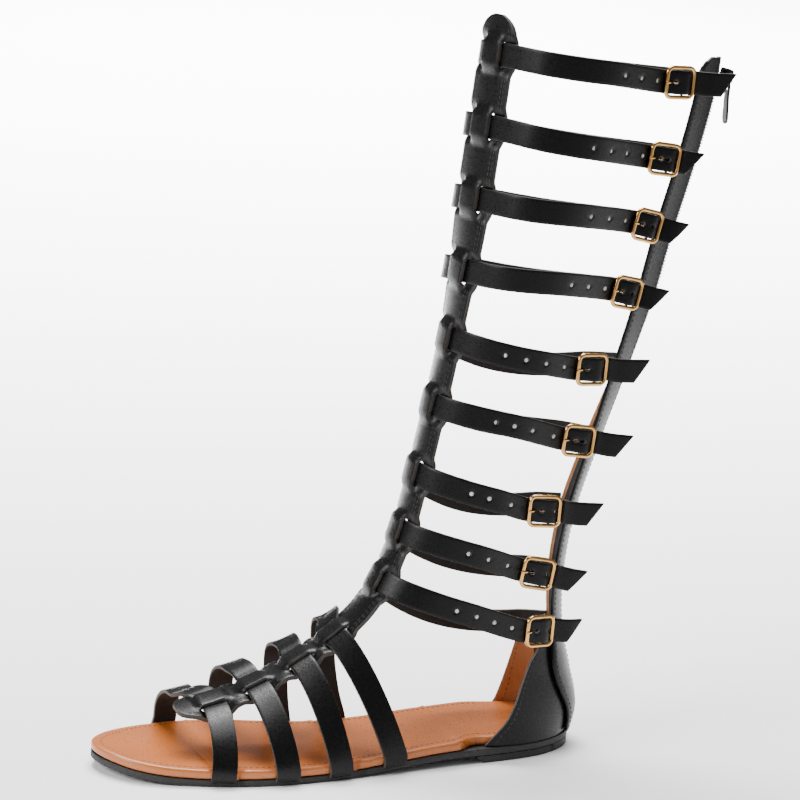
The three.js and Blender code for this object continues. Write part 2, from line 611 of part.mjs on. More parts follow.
// Foot straps: tucked under the board, up its side and in an arch to the spine's slits.
const TUCK = 8;
const ARCH_STEPS = 12;
const ARCH = 1.65; // the outer side's arch: 2 is an ellipse, more is squarer
const RIDGE_X = -20; // where the inner loops are highest
const OUTWARD = 0.25; // share of an outer arch's run to the heel that goes with its width
const SHOULDER = { drop: 5, slope: 0.6, steps: 5 }; // an inner loop's turn: 5 mm and 0.6 a mm of reach
const SWELL = 1.2; // rise between the spine and the ridge
const THIRDS = [0.35, 0.7]; // shares of a span that get a point
const SPINE_STAND = 0.6; // how far a foot strap stands off the spine's middle
const ENTRY = 0.7; // share of the board's height at which a strap turns down
const CORNER = { above: 1.6, inner: 0.45 }; // its turn under the board
const edgeSpot = (y, side, off, z) => V(side * (halfWidth(y, side) + off), y, z);
const besideBoard = GAP + LEATHER / 2;
const underBoard = BOARD_SEAT - GAP - LEATHER / 2;

function soleEdge(y, side) {
  const ahead = edgeSpot(y - 5, side, 0, lift(y - 5));
  const behind = edgeSpot(y + 5, side, 0, lift(y + 5));
  const along = behind.sub(ahead).normalize();
  return { along, inward: V(-side, 0, 0).addScaledVector(along, side * along.x).normalize() };
}

// A quarter arch down to the sole's edge.
function outerArch(start, foot) {
  return Array.from({ length: ARCH_STEPS + 1 }, (_, i) => {
    const angle = (i / ARCH_STEPS) * (Math.PI / 2);
    const [out, drop] = [Math.sin(angle) ** (2 / ARCH), 1 - Math.cos(angle) ** (2 / ARCH)];
    const point = V(
      THREE.MathUtils.lerp(start.x, foot.x, out),
      THREE.MathUtils.lerp(start.y, foot.y, THREE.MathUtils.lerp(drop, out, OUTWARD)),
      THREE.MathUtils.lerp(start.z, foot.z, drop),
    );
    return { point, drop };
  });
}

// A loop that rises off the spine to its ridge, turns round a shoulder and falls to the edge.
function innerLoop(start, row, foot) {
  const ridge = V(RIDGE_X, row.ridgeY, row.ridgeZ);
  const reach = ridge.x - foot.x;
  const fall = SHOULDER.drop + SHOULDER.slope * reach;
  const points = [{ point: start, drop: 0 }];
  for (const share of THIRDS)
    points.push({
      point: start.clone().lerp(ridge, share).add(V(0, 0, SWELL * Math.sin(share * Math.PI))),
      drop: 0,
    });
  for (let i = 0; i <= SHOULDER.steps; i++) {
    const drop = i / SHOULDER.steps;
    const angle = drop * (Math.PI / 2);
    const down = fall * (1 - Math.cos(angle));
    points.push({ point: ridge.clone().add(V(-reach * Math.sin(angle), 0, -down)), drop });
  }
  const shoulder = points.at(-1).point;
  for (const share of [...THIRDS, 1]) {
    const point = shoulder.clone().lerp(foot, share);
    point.y = THREE.MathUtils.lerp(shoulder.y, foot.y, share ** 2);
    points.push({ point, drop: 1 });
  }
  return points;
}

function footSide(row, side) {
  const y = side > 0 ? row.outerY : row.innerY;
  const { along, inward } = soleEdge(y, side);
  const s = crossings[FOOT_STRAPS.indexOf(row)];
  const spine = spineFrame(s);
  const start = spine.point.clone()
    .addScaledVector(spine.across, (side * SPINE_BAND) / 2)
    .addScaledVector(spine.out, SPINE_STAND);
  const foot = edgeSpot(y, side, besideBoard, lift(y) + BOARD_SEAT + BOARD * ENTRY);
  const stops = (side > 0 ? outerArch(start, foot) : innerLoop(start, row, foot))
    .map(({ point, drop }) => ({ point, across: spine.along.clone().lerp(along, drop) }));
  const base = edgeSpot(y, side, besideBoard, lift(y) + underBoard);
  const turns = [[0, CORNER.above], [CORNER.inner, CORNER.inner], [CORNER.above, 0], [TUCK, 0]];
  for (const [inwards, up] of turns) {
    const point = base.clone().addScaledVector(inward, inwards).add(V(0, 0, up));
    stops.push({ point, across: along });
  }
  return stops;
}

function footStrap(row) {
  const stops = [...footSide(row, 1).reverse(), ...footSide(row, -1)];
  return strap(stops, FOOT_STRAP, LEATHER);
}

// The pocket in the outsole that takes a strap's end. It opens outwards and upwards.
const POCKET = { outwards: 3, upwards: 1.5, end: 0.2 };
function pocket(row, side) {
  const y = side > 0 ? row.outerY : row.innerY;
  const { along, inward } = soleEdge(y, side);
  const base = edgeSpot(y, side, besideBoard, lift(y) + underBoard + POCKET.upwards / 2);
  const ends = [-POCKET.outwards, TUCK + GAP + POCKET.end].map((distance) => ({
    point: base.clone().addScaledVector(inward, distance),
    across: along,
  }));
  return strap(ends, FOOT_STRAP + 2 * GAP, LEATHER + 2 * GAP + POCKET.upwards);
}

let soleWithPockets = outsole;
FOOT_STRAPS.forEach((row) => {
  upper = upper.add(solid(footStrap(row)));
  for (const side of [1, -1]) soleWithPockets = soleWithPockets.subtract(solid(pocket(row, side)));
});

// A curved panel with a wall thickness over a grid of points, with its outward normals.
function panel(grid, thickness, off) {
  const rows = grid.length;
  const cols = grid[0].length;
  const sections = grid.map((line, i) =>
    line.map((point, j) => {
      const a = grid[Math.max(i - 1, 0)][j];
      const b = grid[Math.min(i + 1, rows - 1)][j];
      const c = line[Math.max(j - 1, 0)];
      const d = line[Math.min(j + 1, cols - 1)];
      return { point, normal: d.clone().sub(c).cross(b.clone().sub(a)).normalize() };
    }),
  );
  return loft(
    sections.map((line) => {
      const shell = (h) => line.map(({ point, normal }) => point.clone().addScaledVector(normal, h));
      return [...shell(off - thickness / 2), ...shell(off + thickness / 2).reverse()];
    }),
  );
}

// Heel quarters
const QUARTER_COLS = 8;
const OVERLAP = 6; // how far a quarter runs on under the back strip
const TOP_ROWS = 0.2; // how much the rows are drawn together below its top edge
function quarter(side) {
  const front = side > 0 ? "outerFront" : "innerFront";
  const top = side > 0 ? QUARTER_TOP.outer : QUARTER_TOP.inner;
  const grid = QUARTER.map((row) => {
    const z = Math.min(row.z, top + (row.z - QUARTER.at(-1).z) * TOP_ROWS);
    const hidden = ringPoint(z, backArc(z, row.seam - OVERLAP, side), side);
    const line = [];
    for (let j = 0; j <= QUARTER_COLS; j++) {
      const y = THREE.MathUtils.lerp(row[front], hidden.y, j / QUARTER_COLS);
      line.push(shaftPoint(y, z, side));
    }
    return side > 0 ? line : line.reverse();
  });
  return panel(grid, LEATHER, 0);
}

// Back strips beside the zip, from the sole to a round tab above the top strap
const NARROWING = [44, 66]; // heights between which the heel part narrows to the leg part
const TAB = { over: 1.5, run: 9 }; // the tab's rounding
function stripArc(z, side) {
  const heelPart = seamArc(Math.min(z, QUARTER.at(-1).z));
  const legPart = side > 0 ? OUTER_STRIP : INNER_STRIP;
  const wide = THREE.MathUtils.lerp(heelPart, legPart, THREE.MathUtils.smoothstep(z, ...NARROWING));
  const top = Math.min(1, Math.sqrt(Math.max(0, STRIP_TOP + TAB.over - z) / TAB.run));
  return ZIP_HALF + (wide - ZIP_HALF) * top;
}

const STRIP_LEVELS = [8.6, 16, 25, 35, 45, 56, 70, 88, 110, 136, 164, 194, 226, 260, 300, 340, 349,
  353, 356, STRIP_TOP];
const STRIP_COLS = 4;
function backStrip(side) {
  const grid = STRIP_LEVELS.map((z) => {
    const line = [];
    for (let j = 0; j <= STRIP_COLS; j++) {
      const arc = THREE.MathUtils.lerp(ZIP_HALF, stripArc(z, side), j / STRIP_COLS);
      line.push(ringPoint(z, backArc(z, arc, side), side));
    }
    return side < 0 ? line : line.reverse();
  });
  return panel(grid, LEATHER, STRIP_OFF);
}

// Zip: tape under the strips with the closed row of teeth between them
const ZIP = { half: 5.4, tape: 0.9, teeth: 1.4, root: 0.3, stand: 1.5, bottom: 16, top: 351 };
const ZIP_LEVELS = [ZIP.bottom, ...STRIP_LEVELS.filter((z) => z > 20 && z < 345), ZIP.top];

// The zip's middle and its directions at a height.
function zipFrame(z) {
  const up = backDirection(z);
  const out = V(0, 1, 0).addScaledVector(up, -up.y).normalize();
  return { middle: ringPoint(z, 1, 1), up, out };
}

function zip() {
  const tape = panel(
    ZIP_LEVELS.map((z) => [
      ringPoint(z, backArc(z, ZIP.half, 1), 1),
      ringPoint(z, backArc(z, ZIP.half / 2, 1), 1),
      ringPoint(z, 1, 1),
      ringPoint(z, backArc(z, ZIP.half / 2, -1), -1),
      ringPoint(z, backArc(z, ZIP.half, -1), -1),
    ]),
    ZIP.tape,
    0,
  );
  const teeth = loft(
    ZIP_LEVELS.map((z) => {
      const { middle, out } = zipFrame(z);
      const at = (x, o) => middle.clone().add(V(x, 0, 0)).addScaledVector(out, o);
      const height = ZIP.tape / 2 + ZIP.stand;
      const half = ZIP.teeth;
      return [at(-half, -ZIP.root), at(half, -ZIP.root), at(half, height), at(-half, height)];
    }),
  );
  return solid(tape).add(solid(teeth));
}

// A flat shape in the plane of the zip's length and its outward direction, thickened across.
function sideBlock(frame, outline, width) {
  const face = (x) => outline.map(([a, o]) =>
    frame.middle.clone()
      .add(V(x, 0, 0))
      .addScaledVector(frame.up, a)
      .addScaledVector(frame.out, o));
  return solid(loft([face(-width / 2), face(width / 2)]));
}

// Slider: a plate over the strips, a keel between them and a crown for the pull.
const CROWN_PIECE = { half: 3.5, flat: 2.7, shoulder: 2.6, height: 3.4, width: 1.8 };
const EYE = { half: 2.2, height: 2.2, width: 3 }; // the opening under the crown
const KEEL = { shorter: 1, width: 2.8 };
const JOIN = 0.1; // how deep joined blocks run into each other
const sliderFrame = zipFrame(SLIDER.z);
const SEAT = STRIP_OFF + LEATHER / 2 + GAP;
const TEETH_TOP = ZIP.tape / 2 + ZIP.stand + GAP;
function slider() {
  const half = SLIDER.length / 2;
  const face = SEAT + SLIDER.plate;
  const box = (a0, a1, o0, o1) => [[a0, o0], [a1, o0], [a1, o1], [a0, o1]];
  const { half: long, flat, shoulder, height } = CROWN_PIECE;
  const crown = [[-long, face - JOIN], [-long, face + shoulder], [-flat, face + height],
    [flat, face + height], [long, face + shoulder], [long, face - JOIN]];
  const keel = box(KEEL.shorter - half, half - KEEL.shorter, TEETH_TOP, SEAT + JOIN);
  const eye = box(-EYE.half, EYE.half, face, face + EYE.height);
  return sideBlock(sliderFrame, box(-half, half, SEAT, face), SLIDER.width)
    .add(sideBlock(sliderFrame, keel, KEEL.width))
    .add(sideBlock(sliderFrame, crown, CROWN_PIECE.width))
    .subtract(sideBlock(sliderFrame, eye, EYE.width));
}

// Pull: a slotted tag that hangs from its pin in the crown.
const PIN = { down: 1.3, out: 1.1 };
const TAG = { top: 0.6, chamfer: 0.5, neck: 6, step: 8, tip: 0.8, point: 3 };
const SLOT = { half: 1.4, top: 0.6, bottom: 5.6 };
const pin = sliderFrame.middle.clone()
  .addScaledVector(sliderFrame.up, -PIN.down)
  .addScaledVector(sliderFrame.out, SEAT + SLIDER.plate + PIN.out);
function pull() {
  const half = PULL.width / 2;
  const { top, chamfer, neck, step, tip, point } = TAG;
  const right = [
    [half - chamfer, top], [half, top - chamfer], [half, -neck], [half - chamfer, -step],
    [half, point - PULL.length], [half - TAG.top, tip - PULL.length], [tip, -PULL.length],
  ];
  const left = right.map(([x, z]) => [-x, z]).reverse();
  const tag = new THREE.Shape([...right, ...left].map(([x, z]) => new THREE.Vector2(x, z)));
  const slot = [[-1, SLOT.top], [-1, SLOT.bottom], [1, SLOT.bottom], [1, SLOT.top]]
    .map(([side, down]) => [side * SLOT.half, -down]);
  tag.holes.push(new THREE.Path(slot.map(([x, z]) => new THREE.Vector2(x, z))));
  const plate = new THREE.ExtrudeGeometry(tag, { depth: PULL.thickness, bevelEnabled: false });
  plate.translate(0, 0, -PULL.thickness / 2).rotateX(Math.PI / 2);
  return solid(plate.translate(pin.x, pin.y, pin.z));
}

addPiece("outsole", soleWithPockets, LOOKS.rubber);
addPiece("heel", heel, LOOKS.rubber);
addPiece("insole", board, LOOKS.footbed);
addPiece("upper", upper, LOOKS.leather);
addPiece("quarter_outer", quarter(1), LOOKS.leather);
addPiece("quarter_inner", quarter(-1), LOOKS.leather);
addPiece("back_strip_outer", backStrip(1), LOOKS.leather);
addPiece("back_strip_inner", backStrip(-1), LOOKS.leather);
LEG_STRAPS.forEach((row, i) => {
  addPiece(`buckle_${i + 1}`, buckle(seats[i]), LOOKS.gold);
  addPiece(`carrier_${i + 1}`, carrier(row, seats[i]), LOOKS.leather);
});
addPiece("zip", zip(), LOOKS.tape);
addPiece("zip_slider", slider(), LOOKS.steel);
addPiece("zip_pull", pull(), LOOKS.steel);

export default sandal;
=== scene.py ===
"""Looks of a knee-high gladiator sandal for the left foot, built round its CAD frame.

Shapes are worked out in millimetres on the same shaft, spine and sole as the CAD part: x points to
the outer side of the foot, y to the heel and z up. Each finished mesh is in metres.
"""

import logging
import math
from bisect import bisect_right
from dataclasses import dataclass, field
from enum import Enum
from functools import lru_cache
from itertools import pairwise
from typing import Callable, Iterable, NamedTuple, Sequence

import bmesh
import bpy
from mathutils import Matrix, Vector

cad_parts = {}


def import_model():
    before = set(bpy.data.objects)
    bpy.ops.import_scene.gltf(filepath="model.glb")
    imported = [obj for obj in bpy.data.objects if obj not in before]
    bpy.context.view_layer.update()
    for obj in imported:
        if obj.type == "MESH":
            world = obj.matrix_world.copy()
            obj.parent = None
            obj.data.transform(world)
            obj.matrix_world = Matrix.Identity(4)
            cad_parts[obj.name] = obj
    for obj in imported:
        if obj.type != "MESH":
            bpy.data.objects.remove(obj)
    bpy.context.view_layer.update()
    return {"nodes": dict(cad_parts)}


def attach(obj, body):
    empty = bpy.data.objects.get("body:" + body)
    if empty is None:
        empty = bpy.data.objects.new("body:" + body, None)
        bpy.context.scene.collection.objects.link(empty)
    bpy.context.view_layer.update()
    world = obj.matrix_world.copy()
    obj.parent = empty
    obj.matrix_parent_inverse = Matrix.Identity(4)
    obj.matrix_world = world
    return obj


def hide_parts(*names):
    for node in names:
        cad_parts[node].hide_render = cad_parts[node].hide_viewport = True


log = logging.getLogger("sandal")

MM = 0.001
BODY = "sandal"

# Driving dimensions, in millimetres
SOLE_LENGTH = 255.0
HEEL_BACK = 28.0
OUTSOLE = 3.6
BOARD = 4.8
HEEL_RISE = 4.2
TOE_SPRING = 4.8
GAP = 0.3
LEATHER = 1.8
STRAP = 12.0
FOOT_STRAP = 12.4
SPINE = 25.0
SPINE_BAND = 12.0
SPINE_THICKNESS = 2.4
INNER_SHARP = 0.42
OUTER_STRIP = 17.5
INNER_STRIP = 10.2
TUCKED = 1.8
FRONT_TWIST = 17.0
FRONT_SHIFT = 5.0
BOARD_SEAT = OUTSOLE + 0.2
STRIP_TOP = 358.0
STRIP_OFF = LEATHER + 2 * GAP
ZIP_HALF = 2.0


class Side(Enum):
    """The two sides of the foot, with the sign of their x."""

    OUTER = 1
    INNER = -1


class Ring(NamedTuple):
    """A slanted section of the shaft, from a front height and y to a back height and y."""

    back_z: float
    back_y: float
    front_z: float
    front_y: float
    outer: float
    inner: float
    front_x: float
    sharp: float


class LegRow(NamedTuple):
    """A leg strap: its ring, the rise of its sides, its buckle's seat, its tail and its holes."""

    back_z: float
    outer_rise: float
    inner_rise: float
    loop: float
    buckle_x: float
    buckle_y: float
    yaw: float
    fall: float
    tail: float
    holes: tuple[float, ...]


class FootRow(NamedTuple):
    """A foot strap: y at the spine and where it enters the sole, and its inner loop's ridge."""

    spine_y: float
    outer_y: float
    inner_y: float
    ridge_y: float
    ridge_z: float


class SpineRow(NamedTuple):
    """A point of the spine over the foot; roll lifts its inner edge, in degrees."""

    y: float
    z: float
    roll: float


class QuarterRow(NamedTuple):
    """A level of the heel quarters: the two front edges and the seam under the back strip."""

    z: float
    outer_front: float
    inner_front: float
    seam: float


class OutlineRow(NamedTuple):
    """The sole's half-widths at a share of its length from the heel."""

    t: float
    inner: float
    outer: float


OUTLINE = (
    OutlineRow(0.0, 0.0, 0.0),
    OutlineRow(0.02, 15.0, 14.0),
    OutlineRow(0.05, 22.5, 21.0),
    OutlineRow(0.1, 28.5, 27.5),
    OutlineRow(0.17, 30.0, 31.0),
    OutlineRow(0.3, 26.0, 33.5),
    OutlineRow(0.4, 24.5, 36.0),
    OutlineRow(0.5, 27.5, 38.5),
    OutlineRow(0.6, 34.5, 40.5),
    OutlineRow(0.7, 42.5, 40.0),
    OutlineRow(0.78, 45.0, 36.0),
    OutlineRow(0.85, 42.8, 30.5),
    OutlineRow(0.9, 38.0, 25.8),
    OutlineRow(0.95, 29.4, 17.4),
    OutlineRow(0.98, 21.0, 7.4),
    OutlineRow(1.0, 8.3, -8.3),
)

RINGS = (
    Ring(7.0, 25.2, 7.0, -60.0, 30.1, 29.1, 0, 0.5),
    Ring(20.0, 28.6, 30.0, -64.0, 29.6, 28.4, 0, 0.52),
    Ring(40.0, 24.4, 60.0, -72.0, 28.8, 28.4, 0, 0.58),
    Ring(60.7, 19.6, 91.9, -82.1, 28.5, 30.0, 0, 0.65),
    Ring(88.9, 18.1, 117.8, -72.3, 28.0, 30.0, 0, 0.65),
    Ring(124.0, 22.8, 147.4, -65.3, 28.0, 31.0, 0, 0.65),
    Ring(159.3, 34.3, 182.8, -58.1, 29.0, 33.0, 0, 0.73),
    Ring(197.6, 49.2, 217.2, -51.4, 31.0, 36.0, 1, 0.98),
    Ring(233.8, 62.3, 251.9, -46.9, 33.0, 39.0, 3, 1.22),
    Ring(268.7, 71.2, 288.2, -43.5, 35.0, 41.0, 5, 1.3),
    Ring(303.5, 81.0, 324.7, -39.6, 36.0, 42.0, 5, 1.3),
    Ring(342.7, 90.0, 360.6, -35.8, 36.0, 42.0, 5, 1.3),
    Ring(362.0, 92.2, 380.0, -33.8, 36.0, 42.0, 5, 1.3),
)

LEG_STRAPS = (
    LegRow(342.7, 1.5, -4.0, 2.0, 22, 59.2, 6, 3, 31, (4.6, 17.3, 28.8, 42.3)),
    LegRow(303.5, 1.4, -4.7, 4.0, 21, 54.0, 0, 8, 20, (0, 4.6, 15.5, 30, 43.5, 56.8)),
    LegRow(268.7, 3.8, -4.5, 4.0, 20, 47.4, 10, 14, 23, (0, 4.6, 17.8, 31, 44.5)),
    LegRow(233.8, 4.6, -5.2, 4.5, 20, 38.5, 8, 13, 23, (0, 4.6, 16.5, 29.5, 43)),
    LegRow(197.6, -0.7, -13, 0.5, 25, 19.3, 3, 3, 31, (-4.7, 4.6, 19.5, 33, 45.3, 55.5)),
    LegRow(159.3, 2.2, -7.5, 0.5, 24, 15.0, -3, 7, 28, (0, 4.6, 17.5, 32.5, 44.3, 54.8)),
    LegRow(124.0, -0.5, -14, 0.5, 27, -3.1, -8, 3, 30, (-3.6, 4.6, 22.8, 36.3, 45.8)),
    LegRow(88.9, 1.9, -12, 0.5, 26, -4.3, -8, 10, 25, (-2.8, 4.6, 21.5, 34.8, 46)),
    LegRow(60.7, -0.9, -15.5, 0.5, 25, -0.6, 12, 4, 24, (-3.9, 4.6, 19.5, 31, 41.8, 53.3)),
)

SPINE_FOOT = (
    SpineRow(-187, 30.0, 9),
    SpineRow(-176, 31.3, 9),
    SpineRow(-164, 34.0, 6),
    SpineRow(-150, 39.0, 2),
    SpineRow(-138, 44.3, 0),
    SpineRow(-126, 50.8, 0),
    SpineRow(-115.5, 57.0, 0),
    SpineRow(-107, 62.7, 0),
    SpineRow(-97, 70.8, 0),
    SpineRow(-89.5, 79.0, 0),
)

FOOT_STRAPS = (
    FootRow(-168.5, -172.5, -178.0, -177.0, 32.3),
    FootRow(-146.0, -140.5, -147.0, -148.5, 44.0),
    FootRow(-123.5, -112.0, -119.0, -122.0, 55.5),
    FootRow(-105.0, -82.0, -91.0, -99.5, 68.3),
)

QUARTER_TOP = {Side.OUTER: 56.2, Side.INNER: 52.2}
QUARTER = (
    QuarterRow(8.1, -29.5, -4.0, 17.0),
    QuarterRow(12.0, -26.0, -1.0, 18.0),
    QuarterRow(20.0, -18.8, 2.0, 21.0),
    QuarterRow(30.0, -13.6, 4.6, 25.0),
    QuarterRow(40.0, -9.8, 6.6, 25.5),
    QuarterRow(50.0, -4.8, 8.4, 23.0),
    QuarterRow(58.5, 1.6, 10.0, 20.0),
)


def lerp(a: float, b: float, t: float) -> float:
    """The value a share t of the way from a to b."""
    return a + (b - a) * t


def smoothstep(value: float, low: float, high: float) -> float:
    """0 below low, 1 above high and a smooth rise between."""
    t = min(max((value - low) / (high - low), 0.0), 1.0)
    return t * t * (3 - 2 * t)


class Column:
    """Smooth interpolation of one column of a table over another."""

    def __init__(self, places: Sequence[float], values: Sequence[float]) -> None:
        """Keep the places, which rise, and the values there."""
        self.places = list(places)
        self.values = list(values)

    def __call__(self, place: float) -> float:
        """The value at a place; outside the table it is the end value.

        Args:
            place: a place on the first column.

        Returns:
            The value.
        """
        t, v = self.places, self.values
        if place <= t[0]:
            return v[0]
        if place >= t[-1]:
            return v[-1]
        i = bisect_right(t, place)
        before, after = i - 2, i + 1
        t_before = t[before] if before >= 0 else t[i]
        t_after = t[after] if after < len(t) else t[i - 1]
        v_before = v[before] if before >= 0 else v[i]
        v_after = v[after] if after < len(t) else v[i - 1]
        half = (t[i] - t[i - 1]) / 2
        wp = half / (t[i - 1] - t_before)
        wn = half / (t_after - t[i])
        p = (place - t[i - 1]) / (t[i] - t[i - 1])
        pp, ppp = p * p, p * p * p
        sp = -wp * ppp + 2 * wp * pp - wp * p
        s0 = (1 + wp) * ppp + (-1.5 - 2 * wp) * pp + (wp - 0.5) * p + 1
        s1 = (-1 - wn) * ppp + (1.5 + wn) * pp + 0.5 * p
        sn = wn * ppp - wn * pp
        return sp * v_before + s0 * v[i - 1] + s1 * v[i] + sn * v_after


def column(rows: Sequence[tuple], at: str, name: str) -> Column:
    """One named column of a table over another."""
    return Column([getattr(r, at) for r in rows], [getattr(r, name) for r in rows])


class Curve:
    """A centripetal Catmull-Rom curve, measured along its length."""

    STEPS = 14
    REACH = 0.5

    def __init__(self, points: Sequence[Vector]) -> None:
        """Sample the curve through the points.

        Args:
            points: where it passes.
        """
        p = [2 * points[0] - points[1], *points, 2 * points[-1] - points[-2]]
        self.points: list[Vector] = []
        for k in range(1, len(p) - 2):
            span = p[k - 1 : k + 3]
            self.points += [self._span(span, j / self.STEPS) for j in range(self.STEPS)]
        self.points.append(p[-2].copy())
        self.lengths = [0.0]
        for a, b in pairwise(self.points):
            self.lengths.append(self.lengths[-1] + (b - a).length)

    @property
    def length(self) -> float:
        """The whole length."""
        return self.lengths[-1]

    @staticmethod
    def _span(p: Sequence[Vector], t: float) -> Vector:
        """A point between the middle two of four points.

        Args:
            p: the four points.
            t: the share of the way.

        Returns:
            The point.
        """
        d0, d1, d2 = (max((b - a).length, 1e-4) ** 0.5 for a, b in pairwise(p))
        m1 = ((p[1] - p[0]) / d0 - (p[2] - p[0]) / (d0 + d1) + (p[2] - p[1]) / d1) * d1
        m2 = ((p[2] - p[1]) / d1 - (p[3] - p[1]) / (d1 + d2) + (p[3] - p[2]) / d2) * d1
        c2 = -3 * p[1] + 3 * p[2] - 2 * m1 - m2
        c3 = 2 * p[1] - 2 * p[2] + m1 + m2
        return p[1] + m1 * t + c2 * t**2 + c3 * t**3

    def at(self, distance: float) -> Vector:
        """The point a distance along the curve.

        Args:
            distance: how far along.

        Returns:
            The point.
        """
        i = min(max(bisect_right(self.lengths, distance), 1), len(self.points) - 1)
        a, b = self.lengths[i - 1], self.lengths[i]
        return self.points[i - 1].lerp(self.points[i], (distance - a) / max(b - a, 1e-9))

    def along(self, distance: float) -> Vector:
        """The direction of the curve there."""
        ahead = self.at(min(distance + self.REACH, self.length))
        return (ahead - self.at(max(distance - self.REACH, 0.0))).normalized()

    def first(self, reached: Callable[[Vector], bool]) -> float:
        """The distance at which a test of the point first holds.

        Args:
            reached: the test.

        Returns:
            The distance, or the whole length.
        """
        distance = 0.0
        while distance < self.length and not reached(self.at(distance)):
            distance += 0.1
        return distance


class Shaft:
    """The surface of the leg and foot that straps, strips and quarters lie on."""

    columns = {
        name: column(RINGS, "back_z", name)
        for name in ("back_y", "front_z", "front_y", "outer", "inner", "front_x", "sharp")
    }
    seam = column(QUARTER, "z", "seam")
    ARC_STEP = 0.002

    @classmethod
    @lru_cache(maxsize=None)
    def ring(cls, back_z: float) -> dict[str, float]:
        """The sizes of the ring with a back height."""
        return {name: values(back_z) for name, values in cls.columns.items()}

    @classmethod
    def point(cls, back_z: float, u: float, side: Side, rise: float = 0.0) -> Vector:
        """A point of a ring.

        Args:
            back_z: the ring's back height.
            u: 0 at the front and 1 at the back.
            side: which side of the foot.
            rise: how far the ring's side is bent up.

        Returns:
            The point, in millimetres.
        """
        ring = cls.ring(back_z)
        sharp = ring["sharp"] if side is Side.OUTER else INNER_SHARP
        width = ring["outer"] if side is Side.OUTER else ring["inner"]
        widest = 0.5 / (0.5 + sharp)

        def swell(v: float) -> float:
            """How far the ring swells at a share v of its depth."""
            return math.sqrt(max(v, 0.0)) * max(1 - v, 0.0) ** sharp

        out = side.value * width * swell(u) / swell(widest)
        twist = math.tan(math.radians(FRONT_TWIST * ring["front_x"] / FRONT_SHIFT))
        return Vector((
            ring["front_x"] * (1 - u) + out,
            lerp(ring["front_y"], ring["back_y"], u) + out * twist * math.exp(-12 * u),
            lerp(ring["front_z"], back_z, u) + rise * 4 * u * (1 - u),
        ))

    @classmethod
    def at(cls, y: float, z: float, side: Side) -> Vector:
        """The surface's point at a true y and height, found by trying rings.

        Args:
            y: its y.
            z: its height.
            side: which side of the foot.

        Returns:
            The point.
        """
        level, u = z, 0.0
        for _ in range(12):
            ring = cls.ring(round(level, 3))
            u = (y - ring["front_y"]) / (ring["back_y"] - ring["front_y"])
            u = min(max(u, 0.02), 1.0)
            level = z - (ring["front_z"] - level) * (1 - u)
        return Vector((cls.point(level, u, side).x, y, z))

    @classmethod
    @lru_cache(maxsize=None)
    def arcs(cls, back_z: float, side: Side) -> tuple[list[float], list[float]]:
        """Distances from the middle of the back, and u there.

        Args:
            back_z: the ring's back height.
            side: which side of the foot.

        Returns:
            The distances, and u at each.
        """
        gone, shares = [0.0], [1.0]
        last = cls.point(back_z, 1.0, side)
        while gone[-1] < 40 and shares[-1] > 0.05:
            shares.append(shares[-1] - cls.ARC_STEP)
            here = cls.point(back_z, shares[-1], side)
            gone.append(gone[-1] + (here - last).length)
            last = here
        return gone, shares

    @classmethod
    def back_arc(cls, back_z: float, arc: float, side: Side) -> float:
        """u of the point that lies a given arc from the middle of the back.

        Args:
            back_z: the ring's back height.
            arc: the distance round the ring.
            side: which side of the foot.

        Returns:
            u, from 0 at the front to 1 at the back.
        """
        gone, shares = cls.arcs(back_z, side)
        i = min(max(bisect_right(gone, arc), 1), len(gone) - 1)
        share = (arc - gone[i - 1]) / (gone[i] - gone[i - 1])
        return lerp(shares[i - 1], shares[i], min(share, 1.0))

    @classmethod
    def back_point(cls, back_z: float, arc: float, side: Side, rise: float = 0.0) -> Vector:
        """The point of a ring that lies a given arc from the middle of the back."""
        return cls.point(back_z, cls.back_arc(back_z, arc, side), side, rise)

    @classmethod
    def up_back(cls, back_z: float) -> Vector:
        """The direction up the middle of the back."""
        ends = (cls.point(back_z + d, 1.0, Side.OUTER) for d in (2, -2))
        return (next(ends) - next(ends)).normalized()

    @classmethod
    def strip_arc(cls, z: float, side: Side) -> float:
        """The arc from the middle of the back to a back strip's front edge.

        Args:
            z: the height.
            side: which side of the foot.

        Returns:
            The arc, in millimetres.
        """
        heel_part = cls.seam(min(z, QUARTER[-1].z))
        leg_part = OUTER_STRIP if side is Side.OUTER else INNER_STRIP
        wide = lerp(heel_part, leg_part, smoothstep(z, 44, 66))
        top = min(1.0, math.sqrt(max(0.0, STRIP_TOP + 1.5 - z) / 9))
        return ZIP_HALF + (wide - ZIP_HALF) * top


